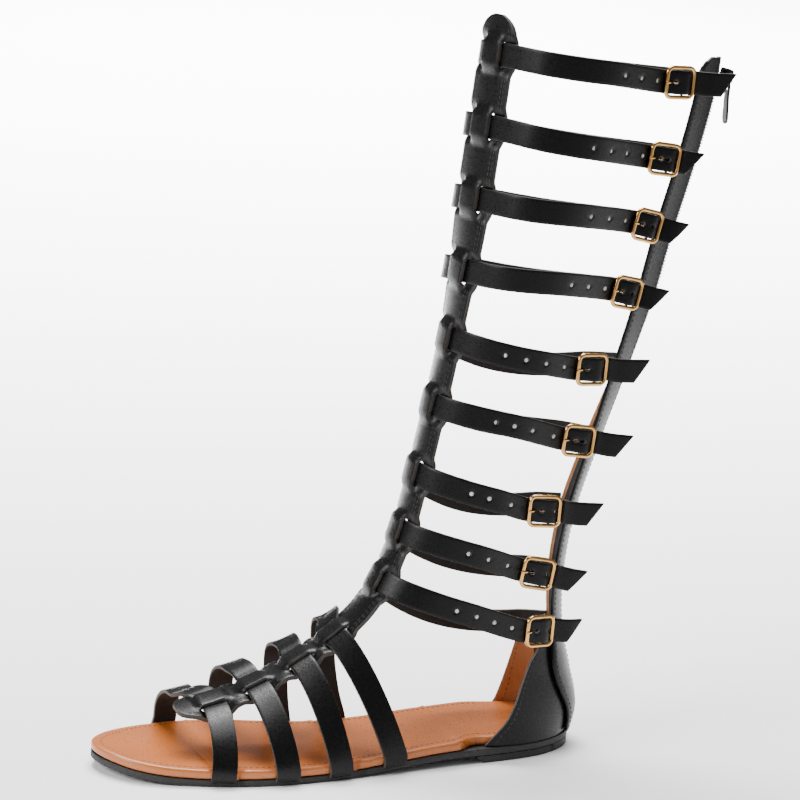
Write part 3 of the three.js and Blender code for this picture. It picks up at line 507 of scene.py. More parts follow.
class Spine:
    """The front band's centre line, with its frames and where the straps cross it."""

    roll = column(SPINE_FOOT, "y", "roll")
    curve = Curve(
        [Vector((0, r.y, r.z)) for r in SPINE_FOOT]
        + [Vector((r.front_x, r.front_y, r.front_z)) for r in RINGS[3:]]
    )
    TWIST = (215.0, 300.0)
    CROWN_FOOT = 60.0
    CROWN_ANKLE = 22.0
    CROWN_TOP = 46.0

    @classmethod
    def frame(cls, distance: float) -> tuple[Vector, Vector, Vector, Vector]:
        """The point, the direction along, the one across and the one outwards.

        Args:
            distance: how far along the band.

        Returns:
            The point and the three directions.
        """
        point, along = cls.curve.at(distance), cls.curve.along(distance)
        turn = math.radians(FRONT_TWIST) * smoothstep(point.z, *cls.TWIST)
        foot = point.z <= SPINE_FOOT[-1].z
        roll = math.radians(max(0.0, cls.roll(point.y))) if foot else 0.0
        raw = Vector((math.cos(turn) * math.cos(roll), math.sin(turn), -math.sin(roll)))
        across = (raw - raw.dot(along) * along).normalized()
        return point, along, across, across.cross(along).normalized()

    @classmethod
    def crown(cls, z: float, w: float) -> float:
        """How far the band's face falls back at a distance w from its middle."""
        low = lerp(cls.CROWN_FOOT, cls.CROWN_ANKLE, smoothstep(z, 60, 100))
        return w * w / (2 * lerp(low, cls.CROWN_TOP, smoothstep(z, 180, 260)))

    @classmethod
    @lru_cache(maxsize=None)
    def crossings(cls) -> tuple[float, ...]:
        """Distances at which the foot straps and then the leg straps cross.

        Returns:
            The distances, foot straps first.
        """
        foot = [cls.curve.first(lambda p, y=r.spine_y: p.y >= y) for r in FOOT_STRAPS]
        heights = [Shaft.ring(r.back_z)["front_z"] for r in LEG_STRAPS]
        return (*foot, *(cls.curve.first(lambda p, z=z: p.z >= z) for z in heights))


class SoleShape:
    """The sole's outline and its height over the ground."""

    angles = [math.acos(1 - 2 * row.t) for row in OUTLINE]
    inner = Column(angles, [row.inner for row in OUTLINE])
    outer = Column(angles, [row.outer for row in OUTLINE])
    WAIST = (0.27, 0.58)
    SPRING_START = 0.8

    @staticmethod
    def share(y: float) -> float:
        """The share of the length from the heel at y."""
        return min(max((HEEL_BACK - y) / SOLE_LENGTH, 0.0), 1.0)

    @classmethod
    def half(cls, y: float, side: Side) -> float:
        """The half-width at y."""
        angle = math.acos(1 - 2 * cls.share(y))
        return cls.outer(angle) if side is Side.OUTER else cls.inner(angle)

    @classmethod
    def lift(cls, y: float) -> float:
        """The height of the outsole's underside.

        Args:
            y: the place along the sole.

        Returns:
            The height over the ground.
        """
        t = cls.share(y)
        toe = max(0.0, (t - cls.SPRING_START) / (1 - cls.SPRING_START))
        return HEEL_RISE * (1 - smoothstep(t, *cls.WAIST)) + TOE_SPRING * toe * toe

    @classmethod
    def board_inset(cls, y: float, side: Side) -> float:
        """How far the board stands back from the outline, inside the heel quarters.

        Args:
            y: the place along the sole.
            side: which side of the foot.

        Returns:
            The distance, 0 ahead of the quarters.
        """
        level = QUARTER[0].z
        wall = abs(Shaft.at(y, level, side).x)
        slope = abs(Shaft.at(y + 0.5, level, side).x) - abs(Shaft.at(y - 0.5, level, side).x)
        inside = wall - (LEATHER / 2 + 2 * GAP) * math.hypot(1, slope)
        front = QUARTER[0].outer_front if side is Side.OUTER else QUARTER[0].inner_front
        wrapped = smoothstep(y, front - 16, front - 1)
        return max(0.0, cls.half(y, side) - inside) * wrapped

    @classmethod
    def edge(cls, y: float, side: Side, off: float, z: float) -> Vector:
        """A point beside the outline."""
        return Vector((side.value * (cls.half(y, side) + off), y, z))

    @classmethod
    def edge_directions(cls, y: float, side: Side) -> tuple[Vector, Vector]:
        """The directions along the edge to the heel, and inwards.

        Args:
            y: the place along the sole.
            side: which side of the foot.

        Returns:
            The two directions.
        """
        ahead = cls.edge(y - 5, side, 0, cls.lift(y - 5))
        along = (cls.edge(y + 5, side, 0, cls.lift(y + 5)) - ahead).normalized()
        inward = Vector((-side.value, 0, 0)) + side.value * along.x * along
        return along, inward.normalized()


def srgb(code: str) -> tuple[float, float, float, float]:
    """A linear colour, with alpha, from an sRGB hex code such as c08040.

    Args:
        code: the six hex digits.

    Returns:
        Red, green, blue and alpha, linear.
    """
    parts = [int(code[i : i + 2], 16) / 255 for i in (0, 2, 4)]
    linear = [c / 12.92 if c <= 0.04045 else ((c + 0.055) / 1.055) ** 2.4 for c in parts]
    return (*linear, 1.0)


def add_node(tree: bpy.types.NodeTree, kind: str, inputs: dict | None = None, **settings):
    """Add a shader node.

    Args:
        tree: the material's or world's node tree.
        kind: the node's type.
        inputs: a value or a socket for each input, by name or number.
        settings: the node's own properties.

    Returns:
        The node.
    """
    node = tree.nodes.new(kind)
    for name, value in settings.items():
        setattr(node, name, value)
    for name, value in (inputs or {}).items():
        if isinstance(value, bpy.types.NodeSocket):
            tree.links.new(value, node.inputs[name])
        else:
            node.inputs[name].default_value = value
    return node


class Surface(Enum):
    """What the fine relief of a finish looks like."""

    PEBBLED = "pebbled"
    FIBROUS = "fibrous"
    WOVEN = "woven"
    PLAIN = "plain"


@dataclass(frozen=True)
class Finish:
    """A real material, with sizes of its patches and grain in millimetres."""

    name: str
    colour: str
    second: str
    roughness: float
    spread: float
    grain: float
    relief: float
    surface: Surface = Surface.PEBBLED
    patch: float = 14.0
    metallic: float = 0.0
    specular: float = 0.5
    coat: float = 0.0

    def _height(self, tree: bpy.types.NodeTree, where: bpy.types.NodeSocket):
        """The socket with the height of the fine relief.

        Args:
            tree: the material's node tree.
            where: the socket with the place.

        Returns:
            The socket; a plain surface gets a soft noise.
        """
        scale = 1 / (self.grain * MM)
        if self.surface is Surface.PEBBLED:
            cells = add_node(tree, "ShaderNodeTexVoronoi", {"Vector": where, "Scale": scale})
            return cells.outputs["Distance"]
        if self.surface is Surface.WOVEN:
            settings = {"Vector": where, "Scale": scale / 2, "Distortion": 0.4}
            wave = add_node(tree, "ShaderNodeTexWave", settings, bands_direction="Z")
            return wave.outputs["Fac"]
        detail = 6.0 if self.surface is Surface.FIBROUS else 2.0
        noise = {"Vector": where, "Scale": scale, "Detail": detail}
        return add_node(tree, "ShaderNodeTexNoise", noise).outputs["Fac"]

    def material(self) -> bpy.types.Material:
        """The material, made once.

        Returns:
            The material.
        """
        found = bpy.data.materials.get(self.name)
        if found:
            return found
        made = bpy.data.materials.new(self.name)
        made.use_nodes = True
        tree = made.node_tree
        tree.nodes.clear()
        where = add_node(tree, "ShaderNodeTexCoord").outputs["Object"]
        patches = add_node(
            tree, "ShaderNodeTexNoise",
            {"Vector": where, "Scale": 1 / (self.patch * MM), "Detail": 4.0, "Roughness": 0.6},
        ).outputs["Fac"]
        tone = add_node(
            tree, "ShaderNodeMix",
            {"Factor": patches, 6: srgb(self.colour), 7: srgb(self.second)}, data_type="RGBA",
        )
        speckle = add_node(
            tree, "ShaderNodeTexNoise",
            {"Vector": where, "Scale": 1 / (2.5 * self.grain * MM), "Detail": 3.0},
        ).outputs["Fac"]
        gloss = add_node(tree, "ShaderNodeMapRange", {
            "Value": speckle, "From Min": 0.3, "From Max": 0.7,
            "To Min": self.roughness - self.spread, "To Max": self.roughness + self.spread,
        })
        bump = add_node(tree, "ShaderNodeBump", {
            "Height": self._height(tree, where), "Distance": self.relief * MM,
        })
        shader = add_node(tree, "ShaderNodeBsdfPrincipled", {
            "Base Color": tone.outputs[2], "Roughness": gloss.outputs["Result"],
            "Normal": bump.outputs["Normal"], "Metallic": self.metallic,
            "Specular IOR Level": self.specular, "Coat Weight": self.coat,
            "Coat Roughness": 0.3,
        })
        add_node(tree, "ShaderNodeOutputMaterial", {"Surface": shader.outputs["BSDF"]})
        return made


# Dyed calf leather with a satin finish
CALF = Finish("calf_leather_black", "050506", "080809", 0.32, 0.08, 0.45, 0.035, specular=0.2)
# The suede flesh side of the same leather
FLESH = Finish("calf_leather_flesh_side", "1a1918", "24211f", 0.85, 0.05, 0.3, 0.08,
               Surface.FIBROUS)
# The cut edge of the leather, dyed and then rubbed
CUT_EDGE = Finish("leather_cut_edge", "2e2a28", "4a443f", 0.7, 0.1, 0.2, 0.05, Surface.FIBROUS)
# Glazed tan calf on the footbed
FOOTBED = Finish("footbed_calf_tan", "a3531c", "b4652a", 0.33, 0.08, 0.5, 0.025,
                 patch=30, coat=0.15)
# Pale plugs in the straps' holes: painted light, standing in for the bright backdrop seen through
# the holes
HOLE_BACKDROP_PAINT = Finish("undyed_leather_core", "d6d1ca", "e4e0da", 0.8, 0.05, 0.3, 0.03)
# Vegetable-tanned pigskin inside the quarters
LINING = Finish("lining_pigskin_tan", "a5673a", "b87a48", 0.62, 0.06, 0.7, 0.06)
# Moulded synthetic rubber
RUBBER = Finish("moulded_rubber_black", "111111", "181817", 0.62, 0.06, 0.35, 0.04,
                Surface.FIBROUS)
# Zinc casting with a pale gold plating
GOLD = Finish("pale_gold_plating", "cf9a58", "dcae70", 0.2, 0.05, 0.8, 0.004, Surface.PLAIN,
              metallic=1.0)
# Steel with a black nickel plating
NICKEL = Finish("black_nickel_plating", "232326", "2c2c30", 0.3, 0.05, 0.6, 0.004,
                Surface.PLAIN, metallic=1.0)
# Polyester zip tape
TAPE = Finish("woven_zip_tape", "101011", "191919", 0.85, 0.05, 0.6, 0.12, Surface.WOVEN)
# Bonded nylon sewing thread, black and brown
THREAD = Finish("nylon_thread_black", "131313", "1f1f1f", 0.5, 0.05, 0.25, 0.04,
                Surface.FIBROUS)
BROWN_THREAD = Finish("nylon_thread_brown", "6b3d1e", "7d4a27", 0.55, 0.05, 0.25, 0.04,
                      Surface.FIBROUS)


@dataclass
class Shell:
    """The wall that a bent sheet is given, and the rounding of its edges, in millimetres."""

    thickness: float
    edge: float = 0.35
    angle: float = 40.0

    def dress(self, obj: bpy.types.Object) -> None:
        """Give the piece its wall, with the second finish inside and the third on the rim.

        Args:
            obj: the sheet.
        """
        wall = obj.modifiers.new("wall", "SOLIDIFY")
        wall.thickness = self.thickness * MM
        wall.offset = 0.0
        wall.material_offset = 1
        wall.material_offset_rim = 2
        edge = obj.modifiers.new("edge", "BEVEL")
        edge.width = self.edge * MM
        edge.segments = 2
        edge.limit_method = "ANGLE"
        edge.angle_limit = math.radians(self.angle)


def piece(
    name: str,
    bm: bmesh.types.BMesh,
    finishes: Sequence[Finish],
    nodes: Sequence[str] = (),
    shell: Shell | None = None,
    flip: bool = False,
) -> bpy.types.Object:
    """Make an object of a mesh in millimetres and tie it to the frame.

    Args:
        name: the piece's name.
        bm: its mesh, which is freed.
        finishes: its materials, in the order of their numbers.
        nodes: the CAD nodes that it stands for.
        shell: its wall, for a sheet.
        flip: whether its faces are turned round first.

    Returns:
        The object, in metres.
    """
    if shell is None:
        bmesh.ops.recalc_face_normals(bm, faces=bm.faces)
    if flip:
        bmesh.ops.reverse_faces(bm, faces=bm.faces)
    bmesh.ops.scale(bm, vec=(MM, MM, MM), verts=bm.verts)
    for face in bm.faces:
        face.smooth = True
    mesh = bpy.data.meshes.new(name)
    bm.to_mesh(mesh)
    bm.free()
    obj = bpy.data.objects.new(name, mesh)
    bpy.context.scene.collection.objects.link(obj)
    for finish in finishes:
        mesh.materials.append(finish.material())
    if shell:
        shell.dress(obj)
    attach(obj, BODY)
    if nodes:
        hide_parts(*nodes)
    log.info("%s: %d faces", name, len(mesh.polygons))
    return obj


def flat_sheet(length: float, width: float, step: float, rows: int) -> bmesh.types.BMesh:
    """A flat grid from x = 0 to its length, centred on y = 0.

    Args:
        length: its size along x.
        width: its size along y.
        step: the size of its cells along x.
        rows: the number of cells across.

    Returns:
        The grid.
    """
    bm = bmesh.new()
    count = max(2, round(length / step))
    bmesh.ops.create_grid(bm, x_segments=count, y_segments=rows, size=0.5)
    bmesh.ops.scale(bm, vec=(length, width, 1), verts=bm.verts)
    bmesh.ops.translate(bm, vec=(length / 2, 0, 0), verts=bm.verts)
    return bm


def bend(bm: bmesh.types.BMesh, place: Callable[[float, float], Vector]) -> None:
    """Move each point of a flat sheet to its place in space."""
    for vert in bm.verts:
        vert.co = place(vert.co.x, vert.co.y)


def punch(bm: bmesh.types.BMesh, places: Iterable[float], radius: float) -> None:
    """Punch round holes in the middle line of a flat sheet.

    Args:
        bm: the sheet.
        places: the holes' distances along it.
        radius: the holes' radius.
    """
    for place in places:
        centre = min(bm.verts, key=lambda v: (v.co.x - place) ** 2 + v.co.y**2)
        middle = centre.co.copy()
        rim = {e for f in centre.link_faces for e in f.edges if centre not in e.verts}
        bmesh.ops.subdivide_edges(bm, edges=list(rim), cuts=1)
        centre = min(bm.verts, key=lambda v: (v.co - middle).length)
        for vert in {v for f in centre.link_faces for v in f.verts if v != centre}:
            vert.co = middle + (vert.co - middle).normalized() * radius
        bmesh.ops.delete(bm, geom=[centre], context="VERTS")


def placed(point: Vector, along: Vector, up: Vector, width: float, height: float) -> Matrix:
    """A matrix that puts a unit section at a point, facing along, with its two radii.

    Args:
        point: the section's middle.
        along: the direction that it faces.
        up: the direction of its height.
        width: its radius across.
        height: its radius upwards.

    Returns:
        The matrix.
    """
    side = up.cross(along).normalized()
    up = along.cross(side).normalized()
    columns = (side * width, up * height, along, point)
    matrix = Matrix.Identity(4)
    for i, vector in enumerate(columns):
        for j in range(3):
            matrix[j][i] = vector[j]
    return matrix


def sweep(bm: bmesh.types.BMesh, places: Sequence[Matrix], segments: int, closed: bool) -> None:
    """Sweep a circle of radius 1 through a row of places.

    Args:
        bm: the mesh that takes the sweep.
        places: a matrix for each stop.
        segments: the points of the circle.
        closed: whether the last stop joins the first.
    """
    made = bmesh.ops.create_circle(
        bm, cap_ends=not closed, segments=segments, radius=1, matrix=places[0]
    )["verts"]
    first = list(made)
    edges = list({e for v in made for e in v.link_edges})
    stops = [*places, places[0]] if closed else places
    for before, after in pairwise(stops):
        geom = bmesh.ops.extrude_edge_only(bm, edges=edges)["geom"]
        made = [g for g in geom if isinstance(g, bmesh.types.BMVert)]
        ring = set(made)
        edges = list({e for v in made for e in v.link_edges if e.other_vert(v) in ring})
        bmesh.ops.transform(bm, matrix=after @ before.inverted(), verts=made)
    if closed:
        bmesh.ops.remove_doubles(bm, verts=first + made, dist=0.01)
    else:
        bmesh.ops.holes_fill(bm, edges=edges, sides=0)


@dataclass
class Seam:
    """A row of stitches, in millimetres."""

    pitch: float = 2.8
    length: float = 2.0
    radius: float = 0.26

    def sew(self, bm: bmesh.types.BMesh, line: Curve, out: Callable[[float], Vector]) -> None:
        """Sew along a line; out gives the surface's outward direction at a distance.

        Args:
            bm: the mesh that takes the stitches.
            line: where they run.
            out: the outward direction at a distance.
        """
        count = int(line.length / self.pitch)
        for i in range(count):
            distance = (i + 0.5) * line.length / count
            matrix = placed(line.at(distance), line.along(distance), out(distance),
                            self.radius, self.radius)
            stretch = Matrix.Diagonal((1, 1, self.length / 2, 1))
            bmesh.ops.create_uvsphere(
                bm, u_segments=6, v_segments=4, radius=1, matrix=matrix @ stretch
            )


@dataclass
class Slab:
    """A layer of the sole between two heights, with its edges rounded."""

    name: str
    thickness: float
    bottom: Callable[[float], float]
    top: Callable[[float], float]
    inset: Callable[[float, Side], float]
    round: float
    start: float = 0.0
    end: float = 1.0
    sharp: float = 1.2
    segments: int = 168
    cuts: int = 64

    def build(self) -> bmesh.types.BMesh:
        """The layer: its outline filled, cut across, raised, rounded and bent.

        Returns:
            The mesh.
        """
        bm = bmesh.new()
        bmesh.ops.create_circle(bm, cap_ends=True, segments=self.segments, radius=1)
        for vert in bm.verts:
            t = lerp(self.start, self.end, (1 - vert.co.y) / 2)
            y = HEEL_BACK - t * SOLE_LENGTH
            side = Side.OUTER if vert.co.x >= 0 else Side.INNER
            x = side.value * (SoleShape.half(y, side) - self.inset(y, side))
            if abs(vert.co.x) < 1e-4:
                other = Side.INNER
                x = (x - SoleShape.half(y, other) + self.inset(y, other)) / 2
            vert.co = Vector((x, y, 0))
        ends = [v.co.y for v in bm.verts]
        low, high = min(ends), max(ends)
        for i in range(1, self.cuts):
            bmesh.ops.bisect_plane(
                bm, geom=bm.verts[:] + bm.edges[:] + bm.faces[:],
                plane_co=(0, lerp(low, high, i / self.cuts), 0), plane_no=(0, 1, 0),
            )
        raised = bmesh.ops.extrude_face_region(bm, geom=bm.faces[:])["geom"]
        verts = [g for g in raised if isinstance(g, bmesh.types.BMVert)]
        bmesh.ops.translate(bm, vec=(0, 0, self.thickness), verts=verts)
        bmesh.ops.recalc_face_normals(bm, faces=bm.faces)
        rim = [e for e in bm.edges if e.calc_face_angle(0) > self.sharp
               and abs(e.verts[0].co.z - e.verts[1].co.z) < 1e-4]
        bmesh.ops.bevel(bm, geom=rim, offset=self.round, segments=4, profile=0.5,
                        affect="EDGES", material=-1)
        for vert in bm.verts:
            share = vert.co.z / self.thickness
            vert.co.z = lerp(self.bottom(vert.co.y), self.top(vert.co.y), share)
        return bm


@dataclass
class Sole:
    """The outsole, the heel block and the wrapped footbed board with its stitching."""

    stitch_inset: float = 4.6
    stitch_steps: int = 180
    stitch_rear: float = 34.0
    stitch_space: float = 1.5
    stitch_sink: float = 0.02
    middle: tuple[float, float, float] = (-4.0, -80.0, 0.0)
    heel_stand: float = 0.5
    heel_lip: float = 0.9
    breast_share: float = 0.229
    top_share: float = 0.246
    board_back: float = 0.029
    board_top: float = BOARD_SEAT + BOARD

    def build(self) -> None:
        """Make the three layers and the stitch line."""
        lift = SoleShape.lift
        run = (self.top_share - self.breast_share) * SOLE_LENGTH
        breast = HEEL_BACK - self.breast_share * SOLE_LENGTH

        def none(y: float, side: Side) -> float:
            """No inset."""
            return 0.0

        def heel_inset(y: float, side: Side) -> float:
            """How far the heel block stands back from the outline."""
            return self.heel_stand

        def heel_bottom(y: float) -> float:
            """The height of the heel block's underside."""
            return max(0.0, (breast - y) / run * (HEEL_RISE - GAP - self.heel_lip))

        outsole = Slab("outsole_tread", OUTSOLE, lift, lambda y: lift(y) + OUTSOLE, none, 0.5)
        heel = Slab("heel_block", HEEL_RISE - GAP, heel_bottom, lambda y: HEEL_RISE - GAP,
                    heel_inset, 0.3, start=0.0025, end=self.top_share, segments=96, cuts=16)
        board = Slab("footbed_board", BOARD, lambda y: lift(y) + BOARD_SEAT,
                     lambda y: lift(y) + self.board_top, SoleShape.board_inset, 1.5,
                     start=self.board_back)
        piece(outsole.name, outsole.build(), [RUBBER], ["outsole"])
        piece(heel.name, heel.build(), [RUBBER], ["heel"])
        piece(board.name, board.build(), [FOOTBED], ["insole"])
        self.stitch()

    def stitch(self) -> None:
        """Sew the line that runs inside the board's edge."""
        points = []
        for i in range(1, self.stitch_steps):
            angle = 2 * math.pi * i / self.stitch_steps
            t = (1 - math.cos(angle)) / 2
            y = HEEL_BACK - t * SOLE_LENGTH
            side = Side.OUTER if angle < math.pi else Side.INNER
            if y > HEEL_BACK - self.stitch_rear:
                continue
            inset = SoleShape.board_inset(y, side)
            points.append(Vector((side.value * (SoleShape.half(y, side) - inset), y, 0)))
        inside = []
        for before, here, after in zip(points, points[1:], points[2:]):
            along = (after - before).normalized()
            inward = Vector((-along.y, along.x, 0))
            if inward.dot(Vector(self.middle) - here) < 0:
                inward.negate()
            spot = here + inward * self.stitch_inset
            spot.z = SoleShape.lift(spot.y) + self.board_top - self.stitch_sink
            if not inside or (spot - inside[-1]).length > self.stitch_space:
                inside.append(spot)
        bm = bmesh.new()
        Seam(pitch=3.0, length=2.1, radius=0.3).sew(bm, Curve(inside), lambda d: Vector((0, 0, 1)))
        piece("footbed_stitches", bm, [BROWN_THREAD])


@dataclass
class SpineBand:
    """The front band with real slits, whose middle rises over each strap."""

    thickness: float = SPINE_THICKNESS
    step: float = 1.6
    rows: int = 16
    slit: float = 6.9
    rise: float = 2.2
    dip: float = 2.0
    flat: float = 5.4
    reach: float = 10.5
    top_run: float = 11.5
    narrowest: float = 0.22
    toe_run: float = 14.0
    toe_tip: float = 0.3
    seams: tuple[float, ...] = (-11.0, 11.0, 9.4)

    def half(self, distance: float) -> float:
        """The half-width, pointed at the toe end and round at the top.

        Args:
            distance: how far along the band.

        Returns:
            The half-width.
        """
        toe = min(1.0, self.toe_tip + (1 - self.toe_tip) * math.sqrt(distance / self.toe_run))
        left = min((Spine.curve.length - distance) / self.top_run, 1.0)
        top = max(self.narrowest, math.sqrt(1 - (1 - left) ** 2))
        return SPINE / 2 * min(toe, top)

    def relief(self, distance: float, middle: bool) -> float:
        """How far the band's face stands out there, over or under a strap.

        Args:
            distance: how far along the band.
            middle: whether it is between the slits.

        Returns:
            The distance outwards.
        """
        near = min(abs(distance - c) for c in Spine.crossings())
        over = 1 - smoothstep(near, self.flat, self.reach)
        return over * (self.rise if middle else -self.dip)

    def spot(self, distance: float, w: float, off: float) -> Vector:
        """A point of the band at a distance along it and across it.

        Args:
            distance: how far along.
            w: how far across, on a band of full width.
            off: how far outwards.

        Returns:
            The point.
        """
        distance = min(max(distance, 0.0), Spine.curve.length)
        point, _, across, out = Spine.frame(distance)
        w *= self.half(distance) / (SPINE / 2)
        return point + across * w + out * (off - Spine.crown(point.z, w))

    def build(self) -> None:
        """Make the band and its seams."""
        length = Spine.curve.length
        bm = flat_sheet(length, SPINE, self.step, self.rows)
        slit_w, edge_w = SPINE_BAND / 2, SPINE / 2
        for vert in bm.verts:
            side, w = math.copysign(1, vert.co.y), abs(vert.co.y)
            inner = w * slit_w / (edge_w / 2)
            outer = lerp(slit_w, edge_w, (w - edge_w / 2) / (edge_w / 2))
            vert.co.y = side * (inner if w <= edge_w / 2 else outer)

        def in_slit(edge: bmesh.types.BMEdge) -> bool:
            """Whether an edge lies along a slit."""
            on_line = all(abs(abs(v.co.y) - slit_w) < 1e-3 for v in edge.verts)
            middle = (edge.verts[0].co.x + edge.verts[1].co.x) / 2
            return on_line and min(abs(middle - c) for c in Spine.crossings()) < self.slit

        bmesh.ops.split_edges(bm, edges=[e for e in bm.edges if in_slit(e)])
        spots = []
        for vert in bm.verts:
            x, w = vert.co.x, vert.co.y
            centres = [abs(f.calc_center_median().y) for f in vert.link_faces]
            between = min(centres) < slit_w < max(centres)
            off = 0.0 if between else self.relief(x, max(centres) < slit_w)
            spots.append((vert, self.spot(x, w, off)))
        for vert, spot in spots:
            vert.co = spot
        piece("spine_band", bm, [CALF, FLESH, CUT_EDGE], ["upper"],
              Shell(self.thickness, 0.5), flip=True)
        stitches = bmesh.new()
        for w in self.seams:
            line = Curve([
                self.spot(d, w, self.relief(d, False) + self.thickness / 2)
                for d in (4 + 1.5 * i for i in range(int((length - 8) / 1.5)))
            ])
            Seam().sew(stitches, line, lambda d: Spine.frame(min(d + 4, length))[3])
        piece("spine_stitches", stitches, [THREAD])


class Seat:
    """Where a buckle lies: its middle and the strap's directions there."""

    LENGTH = 18.0
    HEIGHT = 17.0
    BAR = 2.0
    CORNER = 4.0
    YAW = 2.0
    WIRE = 1.1
    CARRIER = 1.4
    HINGE = (3.4, -2.6)
    HINGE_BAR = 0.75
    CLEAR = 0.2
    PLAY = 0.05
    TAIL = 3.0
    LEAN = 0.4
    REACH = (LENGTH - BAR) / 2
    HALF = (HEIGHT - BAR) / 2
    DEPTH = REACH * math.tan(math.radians(YAW))
    UNDER = WIRE + CLEAR + LEATHER / 2
    WRAP = HINGE_BAR + CARRIER / 2 + PLAY

    def __init__(self, row: LegRow) -> None:
        """Work out the seat of a strap's buckle.

        Args:
            row: the strap's row of the table.
        """
        ring = Shaft.ring(row.back_z)
        u = (row.buckle_y - ring["front_y"]) / (ring["back_y"] - ring["front_y"])
        z = Shaft.point(row.back_z, u, Side.OUTER, row.outer_rise).z
        yaw = math.radians(row.yaw)
        self.row = row
        self.centre = Vector((row.buckle_x, row.buckle_y, z))
        fall = -math.tan(math.radians(row.fall))
        self.along = Vector((-math.sin(yaw), math.cos(yaw), fall)).normalized()
        up = Shaft.up_back(row.back_z).lerp(Vector((0, 0, 1)), self.LEAN)
        self.across = (up - up.dot(self.along) * self.along).normalized()
        self.out = self.along.cross(self.across).normalized()

    def past(self, distance: float, off: float) -> Vector:
        """A point past the buckle's middle, along the strap and off it."""
        return self.centre + self.along * distance + self.out * off

    def turned(self) -> Matrix:
        """The matrix of the buckle's frame, which is turned a little in the strap.

        Returns:
            The matrix.
        """
        yaw = math.radians(self.YAW)
        along = self.along * math.cos(yaw) - self.out * math.sin(yaw)
        out = self.along * math.sin(yaw) + self.out * math.cos(yaw)
        matrix = Matrix.Identity(4)
        for i, vector in enumerate((along, self.across, out, self.centre)):
            for j in range(3):
                matrix[j][i] = vector[j]
        return matrix

    def point(self, a: float, o: float) -> Vector:
        """A point in the buckle's own frame, along the strap and outwards."""
        return self.turned() @ Vector((a, 0, o))


